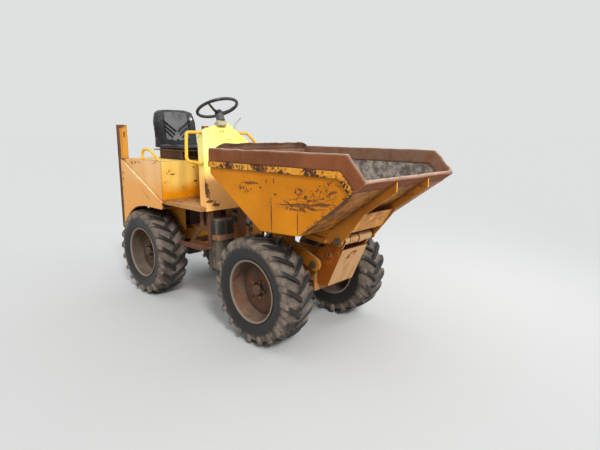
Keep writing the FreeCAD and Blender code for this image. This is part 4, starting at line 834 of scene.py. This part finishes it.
def tyre():
    half = tyreSettings["section"]
    whole = half + [(r, -y) for r, y in reversed(half[:-1])][:-1]
    carcass = spunRound(whole, "carcass", tyreSettings["steps"])
    bar = tyreBar()
    pitch = 2 * math.pi / tyreSettings["lugs"]
    bars = []
    for side in (1, -1):
        for number in range(tyreSettings["lugs"]):
            angle = pitch * (number + tyreSettings["phase"] + (0.0 if side > 0 else 0.5))
            flip = Matrix.Scale(side, 4, (0, 1, 0))
            bars.append(copyOf(bar, "bar", Matrix.Rotation(angle, 4, "Y") @ flip))
    bpy.data.objects.remove(bar)
    lugs = joined(bars, "lugs")
    turnedOut(lugs, 0.00001)
    # dust lies between the bars and on the shoulder, less on the bars' tops and beside the rim
    for piece, low, high in ((carcass, 0.272, 0.335), (lugs, 0.3695, 0.352)):
        writeLayer(piece, "worn", lambda co: between((math.hypot(co.x, co.z) - low) / (high - low), 0.0, 1.0))
    return joined([carcass, lugs], "tyre")


# Rims: a spun dish with wheel nuts
rimSettings = {
    "steps": 72, "nuts": 5, "nutRing": 0.060, "lipFrom": 0.0985,
    "section": [(0.2055, -0.098), (0.2140, -0.1035), (0.2160, -0.107), (0.2150, -0.110), (0.205, -0.1085),
                (0.1985, -0.100), (0.1965, -0.070), (0.188, -0.050), (0.186, -0.020), (0.182, -0.008),
                (0.160, 0.004), (0.120, 0.010), (0.095, 0.0135), (0.045, 0.0135), (0.045, 0.030), (0.060, 0.0345),
                (0.088, 0.0235), (0.100, 0.0225), (0.150, 0.017), (0.181, 0.004), (0.186, 0.012), (0.188, 0.040),
                (0.1965, 0.062), (0.1985, 0.098), (0.204, 0.108), (0.2125, 0.1115), (0.2160, 0.110),
                (0.2160, 0.107), (0.2140, 0.1035), (0.2055, 0.098)],
}


def stub(name, vertices, radius, depth, place, **bevel):
    deselectAll()
    bpy.ops.mesh.primitive_cylinder_add(vertices=vertices, radius=radius, depth=depth, location=place,
                                        rotation=(math.pi / 2, 0, 0))
    made = bakePlace(takeNew(name))
    modify(made, "BEVEL", **bevel)
    return made


def rim():
    parts = [spunRound(rimSettings["section"], "dish", rimSettings["steps"])]
    for number in range(rimSettings["nuts"]):
        angle = 2 * math.pi * number / rimSettings["nuts"]
        place = (rimSettings["nutRing"] * math.cos(angle), 0.040, rimSettings["nutRing"] * math.sin(angle))
        parts.append(stub("nut", 6, 0.0125, 0.020, place, width=0.002, segments=2))
    parts.append(stub("cap", 32, 0.036, 0.034, (0, 0.046, 0), width=0.006, segments=3, limit_method="ANGLE"))
    whole = joined(parts, "rim")
    writeLayer(whole, "lip", lambda co: 1.0 if abs(co.y) > rimSettings["lipFrom"] else 0.0)
    return whole


wheelPlaces = {"front_left": (frontAxleX, 1), "front_right": (frontAxleX, -1),
               "rear_left": (rearAxleX, 1), "rear_right": (rearAxleX, -1)}
wheelParts = [(tyre(), "tyre", rubber, "rubber", 40), (rim(), "rim", rimPaint, "rims", 35)]
for name, (x, side) in wheelPlaces.items():
    move = Matrix.Translation((x, side * wheelY, axleZ)) @ Matrix.Scale(side, 4, (0, 1, 0))
    for first, kind, material, slotName, smooth in wheelParts:
        piece = copyOf(first, kind + "Detailed_" + name, move)
        if side < 0:
            piece.data.flip_normals()
        dress(piece, material, "wheel_" + name, smooth, [kind + "_" + name])
for first, *rest in wheelParts:
    bpy.data.objects.remove(first)
print("wheels made")

# Steering wheel: ring, three flat spokes and a boss
steeringSettings = {"centre": (-0.5145, 0.0, 1.600), "tilt": 24.0, "ring": 0.168, "grip": 0.0128, "dish": 0.046}


def steeringWheel():
    s = steeringSettings
    deselectAll()
    bpy.ops.mesh.primitive_torus_add(major_segments=96, minor_segments=14, major_radius=s["ring"],
                                     minor_radius=s["grip"])
    parts = [takeNew("ring")]
    for number in range(3):
        angle = math.radians(120 * number + 60)
        deselectAll()
        bpy.ops.mesh.primitive_cube_add(size=1, location=(0.03, 0, -s["dish"]))
        spoke = takeNew("spoke")
        spoke.scale = (0.03, 0.026, 0.009)
        bakePlace(spoke)
        selectWhere(spoke, "FACE", lambda face: face.normal.x > 0.9)
        bpy.ops.mesh.extrude_region_move(TRANSFORM_OT_translate={"value": (0.045, 0, 0.008)})
        bpy.ops.transform.resize(value=(1, 0.82, 0.9))
        bpy.ops.mesh.extrude_region_move(TRANSFORM_OT_translate={"value": (0.078, 0, 0.036)})
        bpy.ops.transform.resize(value=(1, 0.85, 0.9))
        closeMesh()
        modify(spoke, "BEVEL", width=0.003, segments=3)
        spoke.data.transform(Matrix.Rotation(angle, 4, "Z"))
        parts.append(spoke)
    profile = [(0.0, -0.062), (0.030, -0.062), (0.034, -0.054), (0.032, -0.036), (0.026, -0.024), (0.0, -0.021)]
    boss = spunRound(profile, "boss", 40, closed=False)
    boss.data.transform(Matrix.Rotation(math.pi / 2, 4, "X"))
    parts.append(boss)
    wheel = joined(parts, "steeringWheelDetailed")
    place = Matrix.Translation(s["centre"]) @ Matrix.Rotation(-math.radians(s["tilt"]), 4, "Y")
    wheel.data.transform(place)
    return wheel


dress(steeringWheel(), blackPlastic, "steering_wheel", 40, ["steering_wheel"])
print("steering wheel made")

# Bent tubes: corner points in order, then each tube's radius and its corners' radius
tubeSettings = {
    "handleRight": [(-0.463, -0.185, 1.402), (-0.455, -0.348, 1.402), (-0.345, -0.426, 1.186), (-0.334, -0.296, 1.160)],
    "handleLeft": [(-0.463, 0.150, 1.398), (-0.455, 0.272, 1.392), (-0.345, 0.405, 1.186), (-0.334, 0.296, 1.160)],
    "lever": [(-0.478, 0.140, 1.425), (-0.488, 0.165, 1.468), (-0.500, 0.234, 1.524)],
    "handle": 0.0125, "corner": 0.034, "rod": 0.0042, "arc": 7,
}


def roundedPath(corners, radius):
    points = [Vector(corners[0])]
    for before, here, after in zip(corners, corners[1:], corners[2:]):
        here = Vector(here)
        back = (Vector(before) - here).normalized()
        ahead = (Vector(after) - here).normalized()
        cut = radius / math.tan(back.angle(ahead) / 2)
        start, stop = here + back * cut, here + ahead * cut
        middle = here + (back + ahead).normalized() * radius / math.sin(back.angle(ahead) / 2)
        for step in range(tubeSettings["arc"] + 1):
            mixed = (start - middle).lerp(stop - middle, step / tubeSettings["arc"])
            points.append(middle + mixed.normalized() * radius)
    return points + [Vector(corners[-1])]


def tubeAlong(corners, thick, corner, name):
    line = pointLine(roundedPath(corners, corner), name)
    closeMesh()
    pick(line)
    bpy.ops.object.convert(target="CURVE")
    line = bpy.context.object
    line.data.bevel_depth = thick
    line.data.bevel_resolution = 6
    line.data.use_fill_caps = True
    bpy.ops.object.convert(target="MESH")
    return turnedOut(takeNew(name))


handles = [tubeAlong(tubeSettings[name], tubeSettings["handle"], tubeSettings["corner"], name)
           for name in ("handleRight", "handleLeft")]
dress(joined(handles, "cowlHandlesBent"), tubePaint, "rear_frame", 60, ["cowl_handles"])
lever = tubeAlong(tubeSettings["lever"], tubeSettings["rod"], 0.02, "leverRod")
dress(lever, dullSteel, "rear_frame", 60)
print("handles made")

# Seat: a cushion and a backrest, swelled by cloth simulation, then ribbed
seatSettings = {
    "width": 0.450, "voxel": 0.0055, "cap": 0.012, "pressure": 4.0, "frames": 20,
    # grooves of the backrest: from, to, as share of the half width and of the height, then half width
    "grooves": [((0.60, 0.66), (0.07, 0.42), 0.022), ((0.60, 0.56), (0.14, 0.34), 0.018),
                ((0.60, 0.47), (0.24, 0.27), 0.018), ((0.30, 0.19), (0.30, 0.05), 0.030),
                ((0.0, 0.19), (0.0, 0.05), 0.030)],
    "grooveDeep": 0.011, "bolster": 0.030,
}


def swell(obj, cap):
    modify(obj, "REMESH", mode="VOXEL", voxel_size=seatSettings["voxel"])
    rest = [vert.co.copy() for vert in obj.data.vertices]
    pick(obj)
    cloth = obj.modifiers.new("Cloth", "CLOTH")
    cloth.settings.use_pressure = True
    cloth.settings.uniform_pressure_force = seatSettings["pressure"]
    cloth.settings.effector_weights.gravity = 0
    for number in range(1, seatSettings["frames"] + 1):
        bpy.context.scene.frame_set(number)
    bpy.ops.object.modifier_apply(modifier=cloth.name)
    bpy.context.scene.frame_set(1)
    for vert, before in zip(obj.data.vertices, rest):
        move = vert.co - before
        if move.length > cap:
            vert.co = before + move.normalized() * cap


def keepInside(obj, low, high, slack=0.004):
    for vert in obj.data.vertices:
        for axis in range(3):
            vert.co[axis] = between(vert.co[axis], low[axis] - slack, high[axis] + slack)


def padBlock(node, name, thick, cuts):                     # a block a little smaller than the CAD node
    low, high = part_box(node)
    size = high - low
    deselectAll()
    bpy.ops.mesh.primitive_cube_add(size=1, location=(low + high) / 2)
    pad = takeNew(name)
    pad.scale = (thick or size.x - 0.024, size.y - 0.024, size.z - 0.020)
    bakePlace(pad)
    openMesh(pad)
    bpy.ops.mesh.select_all(action="SELECT")
    bpy.ops.mesh.subdivide(number_cuts=cuts)
    closeMesh()
    return pad, low, high


def roundPad(pad, width):
    modify(pad, "BEVEL", width=width, segments=4, limit_method="ANGLE", angle_limit=math.radians(50))
    swell(pad, seatSettings["cap"])
    modify(pad, "SUBSURF", levels=1, render_levels=1)


def seatCushion():
    pad, low, high = padBlock("seat_cushion", "seatCushionPadded", None, 7)
    for vert in pad.data.vertices:
        side = abs(vert.co.y) / (seatSettings["width"] / 2)
        if vert.co.z > (low.z + high.z) / 2:
            vert.co.z -= 0.018 * (1 - side ** 4)          # a hollow between the two raised sides
    roundPad(pad, 0.016)
    keepInside(pad, low, high)
    return pad


# How deep the backrest is grooved, 0 to 1, at a share of its half width and of its height
def grooveAt(side, rise):
    deepest = 0.0
    for (s0, t0), (s1, t1), half in seatSettings["grooves"]:
        ds, dt = s1 - s0, (t1 - t0) * 1.4
        share = ((side - s0) * ds + (rise - t0) * 1.4 * dt) / (ds * ds + dt * dt)
        share = between(share, 0.0, 1.0)
        far = math.hypot(side - s0 - ds * share, (rise - t0) * 1.4 - dt * share)
        deepest = max(deepest, 1.0 - min(1.0, (far / (half * 1.6)) ** 2))
    return deepest


# Raised sides, V grooves and slots on the front of the backrest
def carveBack(obj, low, high):
    normals = [vert.normal.x for vert in obj.data.vertices]
    for vert, facing in zip(obj.data.vertices, normals):
        if facing < 0.3:
            continue
        side = abs(vert.co.y) / (seatSettings["width"] / 2)
        rise = (vert.co.z - low.z) / (high.z - low.z)
        wing = between((side - 0.54) / 0.18, 0.0, 1.0) * between((0.95 - side) / 0.12, 0.0, 1.0)
        wing *= between((0.86 - rise) / 0.22, 0.0, 1.0)
        vert.co.x += facing * (seatSettings["bolster"] * wing - seatSettings["grooveDeep"] * grooveAt(side, rise))


def seatBack():
    pad, low, high = padBlock("seat_back", "seatBackPadded", 0.060, 9)
    size = high - low
    for vert in pad.data.vertices:
        rise = (vert.co.z - low.z) / size.z
        side = abs(vert.co.y) / (size.y / 2)
        lean = 0.036 * (1 - min(1, rise / 0.36)) - 0.052 * max(0, rise - 0.36) / 0.64
        ahead = vert.co.x > (low.x + high.x) / 2
        vert.co.x += lean * 0.6 + (0.020 * side ** 3 if ahead else 0.010 * side ** 2)
        vert.co.y *= 1 - 0.20 * max(0, rise - 0.62) ** 1.5 / 0.38 ** 1.5
        if rise > 0.9:
            vert.co.z -= 0.03 * side ** 4
    roundPad(pad, 0.018)
    carveBack(pad, low, high)
    keepInside(pad, low, high)
    return pad


for pad, node in ((seatCushion(), "seat_cushion"), (seatBack(), "seat_back")):
    dress(pad, vinyl, "cover", 60, [node])
print("seat made")

# Upper sheet of the skip: the same folded sheet, dented and wavy along its top edge
sheetSettings = {"voxel": 0.0065, "wave": 0.0075, "dent": 0.0035, "topZ": 1.299, "depth": 0.092}


def wavySheet():
    obj = copyOf(cadNodes["skip_extension"], "skipSheetWavy")
    turnedOut(obj)
    modify(obj, "REMESH", mode="VOXEL", voxel_size=sheetSettings["voxel"])
    low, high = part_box("skip_extension")
    for vert in obj.data.vertices:
        place = vert.co.copy()
        edge = sheetSettings["topZ"] - max(0.0, (place.x - 1.2365) * 1.067)
        share = between(1.0 - (edge - place.z) / sheetSettings["depth"], 0.0, 1.0)
        swing = noise.noise(place * 6.5) * sheetSettings["wave"] * share ** 2
        dent = noise.noise(place * 3.1 + Vector((7, 3, 1))) * sheetSettings["dent"]
        inward = Vector((-1 if place.x > 0.9 else (1 if place.x < 0.1 else 0), 0, 0))
        inward.y = -math.copysign(1, place.y) if abs(place.y) > 0.45 else 0
        vert.co = place + inward * (abs(swing) + dent) - Vector((0, 0, abs(swing) * 0.8 * share))
        for axis in range(3):
            vert.co[axis] = between(vert.co[axis], low[axis], high[axis])
    return obj


# Torn flap that stands up from the skip's rear edge
flapSettings = {"from": -0.448, "to": 0.462, "x": 0.050, "low": 1.284, "rise": 0.043, "lean": 0.026, "wave": 0.010,
                "thick": 0.0045}


def rearFlap():
    s = flapSettings
    deselectAll()
    bpy.ops.mesh.primitive_grid_add(x_subdivisions=90, y_subdivisions=8, size=1)
    flap = bakePlace(takeNew("rearFlap"))
    for vert in flap.data.vertices:
        along, up = vert.co.x + 0.5, vert.co.y + 0.5
        y = s["from"] + (s["to"] - s["from"]) * along
        ragged = noise.noise(Vector((y * 9, 3.1, 0))) * 0.006 + noise.noise(Vector((y * 34, 1.7, 0))) * 0.003
        bulge = s["wave"] * (math.sin(y * 17.0 + 0.6) * 0.6 + noise.noise(Vector((y * 7, up, 5))))
        ends = min(1.0, min(along, 1 - along) * 16)
        top = s["rise"] * (0.45 + 0.55 * ends) + ragged
        vert.co = (s["x"] + s["lean"] * up ** 1.5 + bulge * up, y, s["low"] + top * up)
    modify(flap, "SOLIDIFY", thickness=s["thick"], offset=0.0)
    modify(flap, "BEVEL", width=0.001, segments=2, limit_method="ANGLE", angle_limit=math.radians(50))
    return turnedOut(flap)


upperSheet = joined([wavySheet(), rearFlap()], "skipSheetWavy")
dress(upperSheet, sheetRust, "skip", 40, ["skip_extension"])
print("upper sheet made")


# Floor
def studioFloor():
    deselectAll()
    bpy.ops.mesh.primitive_plane_add(size=400, location=(0, 0, 0))
    floor = takeNew("studioFloor")
    material, tree, shader, coords = startMaterial("paleFloor")
    pale = lightSettings["floor"]
    plug(tree, shader, mixOf(tree, noiseOf(tree, coords, 3.0, 2.0), pale, tuple(v * 0.98 for v in pale)), 0.85)
    floor.data.materials.append(material)


studioFloor()
